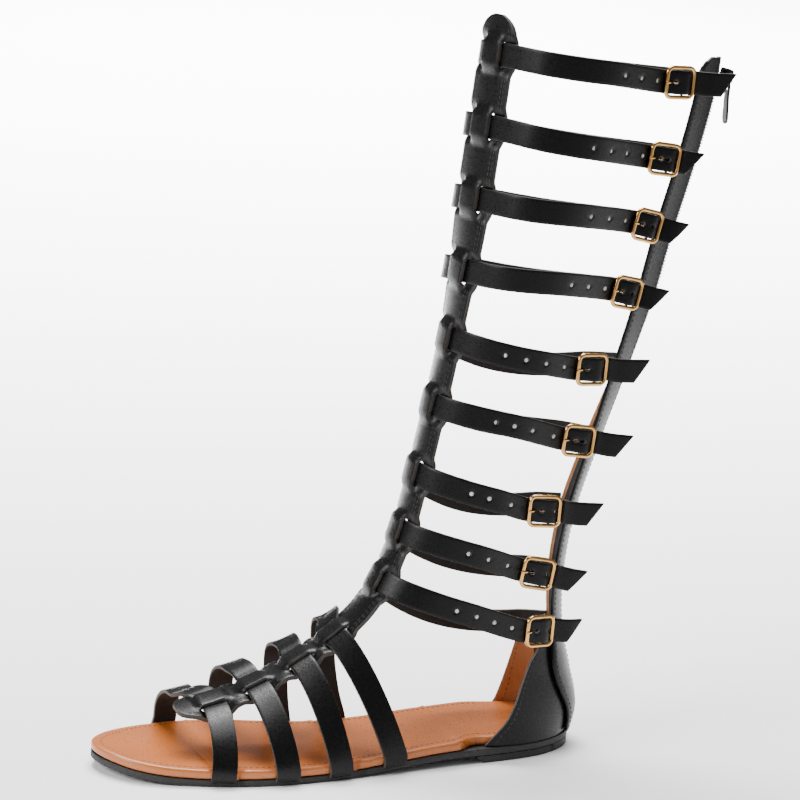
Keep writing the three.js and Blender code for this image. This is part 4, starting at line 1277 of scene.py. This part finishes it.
@dataclass
class LegStrap:
    """A leg strap with its holes, its buckle and the carrier that holds the buckle."""

    number: int
    row: LegRow
    step: float = 1.9
    rows: int = 8
    hole: float = 1.2
    # depth of the pale plugs that paint the bright backdrop seen through the holes
    backdrop_plug_depth: float = 1.1
    cut: float = 8.0
    front_steps: tuple[float, ...] = (0.002, 0.012, 0.04, 0.09, 0.17, 0.28, 0.4)
    inner_steps: tuple[float, ...] = (
        0.012, 0.035, 0.07, 0.12, 0.18, 0.27, 0.38, 0.5, 0.62, 0.73, 0.83, 0.9,
    )
    tail_bend: tuple[tuple[float, float], ...] = ((8.0, 0.6), (4.0, 2.6))
    rear_lap: float = 0.3
    hinge_bend: tuple[tuple[float, float], ...] = ((2.0, 0.9), (-0.5, 0.0))
    saddle: float = -3.0
    corner_steps: int = 6
    wire_sides: int = 12
    prong_steps: int = 24
    prong_taper: float = 0.35
    prong_size: tuple[float, float] = (0.6, 0.8)
    eye_radius: float = 1.3
    eye_size: tuple[float, float] = (0.5, 0.8)
    eye_steps: int = 20
    bar_drop: float = 0.8
    bar_steps: int = 30
    thin_sides: int = 10
    fold_steps: int = 8
    fold_end: float = 4.0
    carrier_rim: float = 0.6
    carrier_turn: float = 6.0
    carrier_step: float = 0.8
    carrier_rows: int = 6
    prong: tuple[tuple[float, float], ...] = (
        (2.2, -3.2), (-0.6, -3.3), (-3.2, -2.4), (-5.2, 0.1), (-7, 1.3), (-9.4, 1.75),
    )
    seat: Seat = field(init=False)

    def __post_init__(self) -> None:
        """Find the buckle's seat."""
        self.seat = Seat(self.row)

    def route(self) -> Curve:
        """The strap's middle line, from its tail round the front to the inner back.

        Returns:
            The line.
        """
        row, seat = self.row, self.seat
        over = seat.HINGE[1] + seat.WRAP + (seat.CARRIER + LEATHER) / 2 + seat.CLEAR
        front = seat.DEPTH - seat.UNDER
        points = [seat.past(row.tail, seat.TAIL)]
        points += [seat.past(seat.REACH + a, seat.TAIL - drop) for a, drop in self.tail_bend]
        points.append(seat.past(seat.REACH + self.rear_lap, -seat.DEPTH - seat.UNDER))
        points += [seat.past(seat.HINGE[0] + a, over - drop) for a, drop in self.hinge_bend]
        points.append(seat.past(self.saddle, (over + front) / 2))
        points.append(seat.past(-seat.REACH, front))
        for u in reversed(self.front_steps):
            points.append(Shaft.point(row.back_z, u, Side.OUTER, row.outer_rise))
        for u in self.inner_steps:
            stand = row.loop * math.exp(-(((u - 0.05) / 0.06) ** 2))
            point = Shaft.point(row.back_z, u, Side.INNER, row.inner_rise)
            points.append(point + Vector((-stand * 0.35, -stand, 0)))
        end = INNER_STRIP - TUCKED
        points.append(Shaft.back_point(row.back_z, end, Side.INNER, row.inner_rise))
        return Curve(points)

    def strap(self) -> None:
        """Cut, punch and bend the strap."""
        row, seat, curve = self.row, self.seat, self.route()
        front_y = Shaft.ring(row.back_z)["front_y"]
        front = Spine.frame(Spine.crossings()[len(FOOT_STRAPS) + self.number - 1])[1]
        inner_back = Shaft.up_back(row.back_z)

        def place(distance: float, w: float) -> Vector:
            """A point of the strap at a distance along it and across it."""
            point, along = curve.at(distance), curve.along(distance)
            u = min(max((point.y - front_y) / (seat.centre.y - front_y), 0.0), 1.0)
            rear = seat.across if distance < curve.length / 2 else inner_back
            across = front.lerp(rear, u)
            return point + (across - across.dot(along) * along).normalized() * w

        bm = flat_sheet(curve.length, STRAP, self.step, self.rows)
        punch(bm, [row.tail + hole for hole in row.holes], self.hole)
        bmesh.ops.bisect_plane(
            bm, geom=bm.verts[:] + bm.edges[:] + bm.faces[:], dist=0.05,
            plane_co=(0, STRAP / 2, 0), plane_no=(STRAP, self.cut, 0), clear_inner=True,
        )
        bend(bm, place)
        piece(f"leg_strap_{self.number}", bm, [CALF, FLESH, CUT_EDGE],
              ["upper"], Shell(LEATHER), flip=True)
        # Pale plugs in the holes past the buckle: painted light standing in for the bright backdrop
        # seen through them, not a leather core
        backdrop_plugs = bmesh.new()
        for distance in (row.tail + hole for hole in row.holes if hole > seat.REACH):
            spot, across = place(distance, 0), place(distance, 1) - place(distance, 0)
            outward = across.cross(curve.along(distance)).normalized()
            bmesh.ops.create_cone(
                backdrop_plugs, cap_ends=True, segments=20, radius1=self.hole, radius2=self.hole,
                depth=self.backdrop_plug_depth, matrix=placed(spot, outward, across, 1, 1),
            )
        piece(f"leg_strap_cores_{self.number}", backdrop_plugs, [HOLE_BACKDROP_PAINT])

    def frame(self, bm: bmesh.types.BMesh) -> None:
        """Bend the buckle's wire into a frame with round corners."""
        seat = self.seat
        turn = seat.CORNER - seat.BAR / 2
        x, y = seat.REACH - turn, seat.HALF - turn
        places = []
        for quadrant, (sx, sy) in enumerate(((1, 1), (-1, 1), (-1, -1), (1, -1))):
            for k in range(self.corner_steps + 1):
                angle = math.radians(90 * quadrant + 90 * k / self.corner_steps)
                spot = Vector((sx * x + turn * math.cos(angle), sy * y + turn * math.sin(angle), 0))
                along = Vector((-math.sin(angle), math.cos(angle), 0))
                places.append(placed(spot, along, Vector((0, 0, 1)), seat.WIRE, seat.WIRE))
        sweep(bm, places, self.wire_sides, closed=True)

    def tongue(self, bm: bmesh.types.BMesh) -> None:
        """Draw the prong and the eye that turns on the hinge bar."""
        line = Curve([Vector((a, 0, o)) for a, o in self.prong])
        (width, height), stops = self.prong_size, []
        for k in range(self.prong_steps + 1):
            distance = line.length * k / self.prong_steps
            slim = 1 - self.prong_taper * k / self.prong_steps
            stops.append(placed(line.at(distance), line.along(distance), Vector((0, 1, 0)),
                                width * slim, height * slim))
        sweep(bm, stops, self.thin_sides, closed=False)
        (hinge_a, hinge_o), radius, ring = self.seat.HINGE, self.eye_radius, []
        for k in range(self.eye_steps):
            angle = 2 * math.pi * k / self.eye_steps
            spot = Vector((hinge_a + radius * math.cos(angle), 0,
                           hinge_o + radius * math.sin(angle)))
            along = Vector((-math.sin(angle), 0, math.cos(angle)))
            ring.append(placed(spot, along, Vector((0, 1, 0)), *self.eye_size))
        sweep(bm, ring, self.thin_sides, closed=True)

    def hinge_bar(self, bm: bmesh.types.BMesh) -> None:
        """Bend the bar that drops from the frame's sides and crosses under the strap."""
        seat, drop = self.seat, self.bar_drop
        hinge_a, hinge_o = seat.HINGE
        ends = [(-seat.HALF, 0), (-seat.HALF, hinge_o + drop), (drop - seat.HALF, hinge_o)]
        ends += [(0, hinge_o)] + [(-c, o) for c, o in reversed(ends)]
        line = Curve([Vector((hinge_a, c, o)) for c, o in ends])
        bar = [placed(line.at(d), line.along(d), Vector((1, 0, 0)), seat.HINGE_BAR, seat.HINGE_BAR)
               for d in (line.length * k / self.bar_steps for k in range(self.bar_steps + 1))]
        sweep(bm, bar, self.thin_sides, closed=False)

    def buckle(self) -> None:
        """Cast the frame, its prong and its hinge bar, and set them in the seat."""
        seat, bm = self.seat, bmesh.new()
        self.frame(bm)
        self.tongue(bm)
        self.hinge_bar(bm)
        bmesh.ops.transform(bm, matrix=seat.turned(), verts=bm.verts)
        piece(f"buckle_frame_{self.number}", bm, [GOLD], [f"buckle_{self.number}"])

    def carrier(self) -> None:
        """Fold the short strap from under the back strip round the hinge bar."""
        row, seat = self.row, self.seat
        edge = max(OUTER_STRIP, Shaft.strip_arc(row.back_z - STRAP / 2, Side.OUTER))
        hidden, rim = (
            Shaft.back_point(row.back_z, arc, Side.OUTER, row.outer_rise)
            for arc in (edge - TUCKED, edge + self.carrier_rim)
        )
        hinge_a, hinge_o = seat.HINGE
        to_rim = seat.turned().inverted() @ rim - Vector((hinge_a, 0, hinge_o))
        rear, outward = to_rim.x, to_rim.z
        touch = math.acos(seat.WRAP / math.hypot(rear, outward)) - math.atan2(rear, outward)
        path = [hidden, rim]
        turns = range(self.fold_steps + 1)
        for angle in (touch + math.pi * k / self.fold_steps for k in turns):
            path.append(seat.point(hinge_a - seat.WRAP * math.sin(angle),
                                   hinge_o + seat.WRAP * math.cos(angle)))
        path.append(path[-1] + (rim - path[2]).normalized() * self.fold_end)
        curve = Curve(path)
        back = Shaft.up_back(row.back_z)
        near = (rim - hidden).length

        def place(distance: float, w: float) -> Vector:
            """A point of the strap at a distance along it and across it."""
            along = curve.along(distance)
            across = back.lerp(seat.across, smoothstep(distance, near, near + self.carrier_turn))
            across = (across - across.dot(along) * along).normalized()
            return curve.at(distance) + across * w

        bm = flat_sheet(curve.length, STRAP, self.carrier_step, self.carrier_rows)
        bend(bm, place)
        piece(f"buckle_carrier_{self.number}", bm, [CALF, FLESH, CUT_EDGE],
              [f"carrier_{self.number}"], Shell(seat.CARRIER, 0.3), flip=True)

    def build(self) -> None:
        """Make the strap, the buckle and the carrier."""
        self.strap()
        self.buckle()
        self.carrier()


class Stop(NamedTuple):
    """A point of a strap's route and the direction of its width there."""

    point: Vector
    across: Vector


@dataclass
class FootStrap:
    """A strap from the sole over the foot, through the spine's slits and down again."""

    number: int
    row: FootRow
    tuck: float = 8.0
    arch: float = 1.65
    arch_steps: int = 12
    lag: float = 0.75
    ridge_x: float = -20.0
    thirds: tuple[float, float] = (0.35, 0.7)
    swell: float = 1.2
    fall: float = 5.0
    fall_share: float = 0.6
    shoulder_steps: int = 5
    stand: float = 0.6
    seat_share: float = 0.7
    step: float = 1.3
    rows: int = 8
    corner: tuple[tuple[float, float], ...] = ((0, 1.6), (0.45, 0.45), (1.6, 0))
    beside: float = GAP + LEATHER / 2
    under: float = BOARD_SEAT - GAP - LEATHER / 2

    def outer_arch(self, start: Vector, foot: Vector) -> list[tuple[Vector, float]]:
        """A quarter arch down to the sole's edge, with the share of its drop.

        Args:
            start: where it leaves the band.
            foot: where it meets the edge.

        Returns:
            The points, each with its share of the drop.
        """
        points = []
        for i in range(self.arch_steps + 1):
            angle = math.pi / 2 * i / self.arch_steps
            out = math.sin(angle) ** (2 / self.arch)
            drop = 1 - max(math.cos(angle), 0.0) ** (2 / self.arch)
            y = lerp(start.y, foot.y, (1 - self.lag) * out + self.lag * drop)
            x, z = lerp(start.x, foot.x, out), lerp(start.z, foot.z, drop)
            points.append((Vector((x, y, z)), drop))
        return points

    def inner_loop(self, start: Vector, foot: Vector) -> list[tuple[Vector, float]]:
        """A loop that rises to its ridge, turns round a shoulder and falls to the edge.

        Args:
            start: where it leaves the band.
            foot: where it meets the edge.

        Returns:
            The points, each with its share of the drop.
        """
        ridge = Vector((self.ridge_x, self.row.ridge_y, self.row.ridge_z))
        reach = ridge.x - foot.x
        fall = self.fall + self.fall_share * reach
        points = [(start, 0.0)]
        for share in self.thirds:
            swell = Vector((0, 0, self.swell * math.sin(share * math.pi)))
            points.append((start.lerp(ridge, share) + swell, 0.0))
        for i in range(self.shoulder_steps + 1):
            angle = math.pi / 2 * i / self.shoulder_steps
            drop = Vector((-reach * math.sin(angle), 0, -fall * (1 - math.cos(angle))))
            points.append((ridge + drop, i / self.shoulder_steps))
        shoulder = points[-1][0]
        for share in (*self.thirds, 1.0):
            point = shoulder.lerp(foot, share)
            point.y = lerp(shoulder.y, foot.y, share**2)
            points.append((point, 1.0))
        return points

    def half(self, side: Side) -> list[Stop]:
        """One side of the route, from the spine to the end under the board.

        Args:
            side: which side of the foot.

        Returns:
            The stops.
        """
        y = self.row.outer_y if side is Side.OUTER else self.row.inner_y
        along, inward = SoleShape.edge_directions(y, side)
        point, spine_along, across, out = Spine.frame(Spine.crossings()[self.number - 1])
        start = point + across * (side.value * SPINE_BAND / 2) + out * self.stand
        lift = SoleShape.lift(y)
        foot = SoleShape.edge(y, side, self.beside, lift + BOARD_SEAT + BOARD * self.seat_share)
        bend_points = (self.outer_arch if side is Side.OUTER else self.inner_loop)(start, foot)
        stops = [Stop(p, spine_along.lerp(along, drop)) for p, drop in bend_points]
        base = SoleShape.edge(y, side, self.beside, lift + self.under)
        for inwards, up in (*self.corner, (self.tuck, 0)):
            stops.append(Stop(base + inward * inwards + Vector((0, 0, up)), along))
        return stops

    def build(self) -> None:
        """Bend the strap."""
        stops = [*reversed(self.half(Side.OUTER)), *self.half(Side.INNER)]
        curve = Curve([stop.point for stop in stops])
        marks = [curve.lengths[i * Curve.STEPS] for i in range(len(stops))]

        def place(distance: float, w: float) -> Vector:
            """A point of the strap at a distance along it and across it."""
            i = min(max(bisect_right(marks, distance), 1), len(marks) - 1)
            share = min((distance - marks[i - 1]) / max(marks[i] - marks[i - 1], 1e-6), 1.0)
            across = stops[i - 1].across.lerp(stops[i].across, share)
            along = curve.along(distance)
            return curve.at(distance) + (across - across.dot(along) * along).normalized() * w

        bm = flat_sheet(curve.length, FOOT_STRAP, self.step, self.rows)
        bend(bm, place)
        piece(f"foot_strap_{self.number}", bm, [CALF, FLESH, CUT_EDGE],
              ["upper"], Shell(LEATHER), flip=True)


@dataclass
class Quarter:
    """A heel quarter: black outside, tan lining inside, stitched along its front edge."""

    side: Side
    overlap: float = 6.0
    shoulder: float = 50.0
    seam_inset: float = 2.2
    seam_steps: int = 30
    columns: int = 36
    rows: int = 40

    def build(self) -> None:
        """Make the quarter and its seam."""
        name = self.side.name.lower()
        fronts = column(QUARTER, "z", f"{name}_front")
        top = QUARTER_TOP[self.side]
        low, high = QUARTER[0].z, QUARTER[-1].z

        def place(across: float, up: float, off: float = 0.0) -> Vector:
            """A point of the quarter, from its front to its hidden edge."""
            level = lerp(low, high, up)
            z = level
            if level > self.shoulder:
                z = lerp(self.shoulder, top, (level - self.shoulder) / (high - self.shoulder))
            hidden = Shaft.back_point(z, Shaft.seam(level) - self.overlap, self.side)
            point = Shaft.at(lerp(fronts(level), hidden.y, across), z, self.side)
            return point + Vector((self.side.value * off, 0, 0))

        bm = flat_sheet(1.0, 1.0, 1 / self.columns, self.rows)
        bend(bm, lambda x, y: place(x, y + 0.5))
        piece(f"heel_quarter_{name}", bm, [CALF, LINING, CUT_EDGE],
              [f"quarter_{name}"], Shell(LEATHER, 0.3), flip=self.side is Side.INNER)
        reach = abs(place(1, 0.5).y - place(0, 0.5).y)
        share = self.seam_inset / reach
        for label, thread, off in (("outside", THREAD, 1), ("inside", BROWN_THREAD, -1)):
            line = Curve([place(share, k / self.seam_steps, off * LEATHER / 2)
                          for k in range(1, self.seam_steps)])
            bm = bmesh.new()
            Seam().sew(bm, line, lambda d: Vector((self.side.value, 0, 0)))
            piece(f"quarter_stitches_{name}_{label}", bm, [thread])


@dataclass
class BackStrip:
    """A strip beside the zip, from the sole to a round tab, with a corded edge and seams."""

    side: Side
    bottom: float = 8.6
    cord: float = 0.75
    cord_sides: int = 8
    cord_steps: int = 160
    cord_inset: float = 0.2
    seam_inset: float = 2.6
    zip_seam: float = 1.6
    tab_power: float = 1.25
    beside: float = 0.6
    top_gap: float = 3.0
    edge_steps: int = 110
    columns: int = 6
    rows: int = 150

    def height(self, share: float) -> float:
        """The level at a share of the height, with more levels at the round top."""
        return lerp(self.bottom, STRIP_TOP, 1 - (1 - share) ** self.tab_power)

    def spot(self, z: float, arc: float, off: float) -> tuple[Vector, Vector]:
        """A point of the strip's face with its outward direction.

        Args:
            z: the height.
            arc: the distance from the middle of the back.
            off: how far outwards.

        Returns:
            The point and the direction.
        """
        here = Shaft.back_point(z, arc, self.side)
        beside = Shaft.back_point(z, arc + self.beside, self.side) - here
        above = Shaft.back_point(z + 1, arc, self.side) - here
        out = above.cross(beside).normalized() * self.side.value
        return here + out * off, out

    def build(self) -> None:
        """Make the strip, its corded edge and its two seams."""
        name = self.side.name.lower()
        bm = flat_sheet(1.0, 1.0, 1 / self.columns, self.rows)

        def place(x: float, y: float) -> Vector:
            """A point of the strip from its place in the flat sheet."""
            z = self.height(y + 0.5)
            arc = lerp(ZIP_HALF, Shaft.strip_arc(z, self.side), x)
            return self.spot(z, arc, STRIP_OFF)[0]

        bend(bm, place)
        piece(f"zip_strip_{name}", bm, [CALF, LINING, CUT_EDGE],
              [f"back_strip_{name}"], Shell(LEATHER, 0.4), flip=self.side is Side.OUTER)
        count = self.edge_steps
        levels = [lerp(self.bottom + 1, STRIP_TOP - self.top_gap, k / count)
                  for k in range(count + 1)]
        edge = [self.spot(z, Shaft.strip_arc(z, self.side) - self.cord_inset, STRIP_OFF)
                for z in levels]
        line = Curve([point for point, _ in edge])
        stops = []
        for k in range(self.cord_steps + 1):
            distance = line.length * k / self.cord_steps
            out = edge[min(round(k / self.cord_steps * count), count)][1]
            stops.append(placed(line.at(distance), line.along(distance), out, self.cord, self.cord))
        bm = bmesh.new()
        sweep(bm, stops, self.cord_sides, closed=False)
        piece(f"corded_edge_{name}", bm, [CALF])
        bm = bmesh.new()
        for arc_of in (lambda z: Shaft.strip_arc(z, self.side) - self.seam_inset,
                       lambda z: ZIP_HALF + self.zip_seam):
            spots = [self.spot(z, arc_of(z), STRIP_OFF + LEATHER / 2) for z in levels[:-1]]
            outs = [out for _, out in spots]
            line = Curve([point for point, _ in spots])
            Seam().sew(bm, line, lambda d, o=outs, n=line.length: o[
                min(round(d / n * (len(o) - 1)), len(o) - 1)])
        piece(f"zip_strip_stitches_{name}", bm, [THREAD])


@dataclass
class Zip:
    """The zip's tape, its two rows of teeth, and the metal of its slider and pull."""

    half: float = 5.4
    tape: float = 0.9
    stand: float = 0.5
    bottom: float = 16.0
    top: float = 351.0
    pitch: float = 1.7
    tooth: tuple[float, float] = (1.7, 0.62)
    tooth_side: float = 0.55
    columns: int = 8
    rows: int = 140
    levels: int = 60

    def build(self, nodes: dict[str, bpy.types.Object]) -> None:
        """Make the tape and the teeth, and plate the slider and the pull.

        Args:
            nodes: the frame's CAD nodes by name.
        """
        bm = flat_sheet(1.0, 1.0, 1 / self.columns, self.rows)

        def place(x: float, y: float) -> Vector:
            """A point of the tape from its place in the flat sheet."""
            z = lerp(self.bottom, self.top, y + 0.5)
            arc = lerp(-self.half, self.half, x)
            return Shaft.back_point(z, abs(arc), Side.OUTER if arc > 0 else Side.INNER)

        bend(bm, place)
        piece("zip_tape", bm, [TAPE, TAPE, TAPE], ["zip"],
              Shell(self.tape, 0.2), flip=True)
        levels = [lerp(self.bottom, self.top, k / self.levels) for k in range(self.levels + 1)]
        line = Curve([Shaft.point(z, 1.0, Side.OUTER) for z in levels])
        bm = bmesh.new()
        count = int(line.length / self.pitch)
        for k in range(2 * count):
            distance = (k + 0.5) * line.length / (2 * count)
            along = line.along(distance)
            out = (Vector((0, 1, 0)) - along.y * along).normalized()
            spot = line.at(distance) + out * (self.tape / 2 + self.stand / 2)
            spot.x += self.tooth_side if k % 2 else -self.tooth_side
            width, depth = self.tooth
            thin = Matrix.Diagonal((1, 1, depth, 1))
            matrix = placed(spot, along, out, width, self.stand) @ thin
            bmesh.ops.create_cube(bm, size=1, matrix=matrix)
        piece("zip_teeth", bm, [NICKEL], ["zip"])
        for name in ("zip_slider", "zip_pull"):
            for slot in nodes[name].material_slots:
                slot.material = NICKEL.material()


@dataclass
class Studio:
    """The pale floor, the soft light and the camera, in metres."""

    eye: tuple[float, float, float] = (1.5351, -0.7066, 0.5656)
    aim: tuple[float, float, float] = (0.0, -0.0751, 0.1988)
    roll: float = 3.0
    lens: float = 152.5
    shift: float = -0.034
    floor: float = 12.0
    world: float = 0.3

    def light(self, name: str, place: Sequence[float], aim: Sequence[float], size: float,
              power: float, spread: float = 180) -> None:
        """Add a square soft light that faces a point.

        Args:
            name: the light's name.
            place: where it stands, in metres.
            aim: the point it faces, in metres.
            size: the side of its square, in metres.
            power: its power, in watts.
            spread: the angle of its beam, in degrees.
        """
        lamp = bpy.data.lights.new(name, "AREA")
        lamp.size = size
        lamp.energy = power
        lamp.spread = math.radians(spread)
        obj = bpy.data.objects.new(name, lamp)
        obj.location = place
        direction = Vector(aim) - Vector(place)
        obj.rotation_euler = direction.to_track_quat("-Z", "Y").to_euler()
        bpy.context.scene.collection.objects.link(obj)

    def build(self) -> None:
        """Set the floor, the world, the lights and the camera."""
        bm = bmesh.new()
        bmesh.ops.create_grid(bm, x_segments=2, y_segments=2, size=self.floor)
        mesh = bpy.data.meshes.new("studio_floor")
        bm.to_mesh(mesh)
        bm.free()
        floor = bpy.data.objects.new("studio_floor", mesh)
        bpy.context.scene.collection.objects.link(floor)
        paper = bpy.data.materials.new("backdrop_paper")
        paper.use_nodes = True
        shader = paper.node_tree.nodes["Principled BSDF"]
        shader.inputs["Base Color"].default_value = srgb("f7f7f7")
        shader.inputs["Roughness"].default_value = 0.95
        mesh.materials.append(paper)
        world = bpy.data.worlds.new("studio")
        world.use_nodes = True
        world.node_tree.nodes["Background"].inputs["Color"].default_value = srgb("ffffff")
        world.node_tree.nodes["Background"].inputs["Strength"].default_value = self.world
        bpy.context.scene.world = world
        self.light("soft_front", (0.3, -1.7, 1.0), (0, 0, 0.2), 0.9, 34)
        self.light("soft_top", (-0.2, 0.1, 2.0), (0, 0, 0.1), 1.2, 44)
        self.light("background", (-2.8, 0.9, 2.8), (-2.8, 0.9, 0), 3.6, 580, spread=80)
        camera = bpy.data.cameras.new("camera")
        camera.lens = self.lens
        camera.sensor_width = 36.0
        camera.shift_y = self.shift
        camera.clip_start = 0.05
        obj = bpy.data.objects.new("camera", camera)
        direction = Vector(self.aim) - Vector(self.eye)
        turn = direction.to_track_quat("-Z", "Y").to_matrix().to_4x4()
        obj.matrix_world = (
            Matrix.Translation(self.eye) @ turn @ Matrix.Rotation(math.radians(self.roll), 4, "Z")
        )
        bpy.context.scene.collection.objects.link(obj)
        bpy.context.scene.camera = obj


def main() -> None:
    """Build every piece round the frame."""
    logging.basicConfig(level=logging.INFO, format="%(message)s")
    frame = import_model()
    Sole().build()
    SpineBand().build()
    for number, row in enumerate(LEG_STRAPS, 1):
        LegStrap(number, row).build()
    for number, row in enumerate(FOOT_STRAPS, 1):
        FootStrap(number, row).build()
    for side in Side:
        Quarter(side).build()
        BackStrip(side).build()
    Zip().build(frame["nodes"])
    Studio().build()


if __name__ == "__main__":
    main()
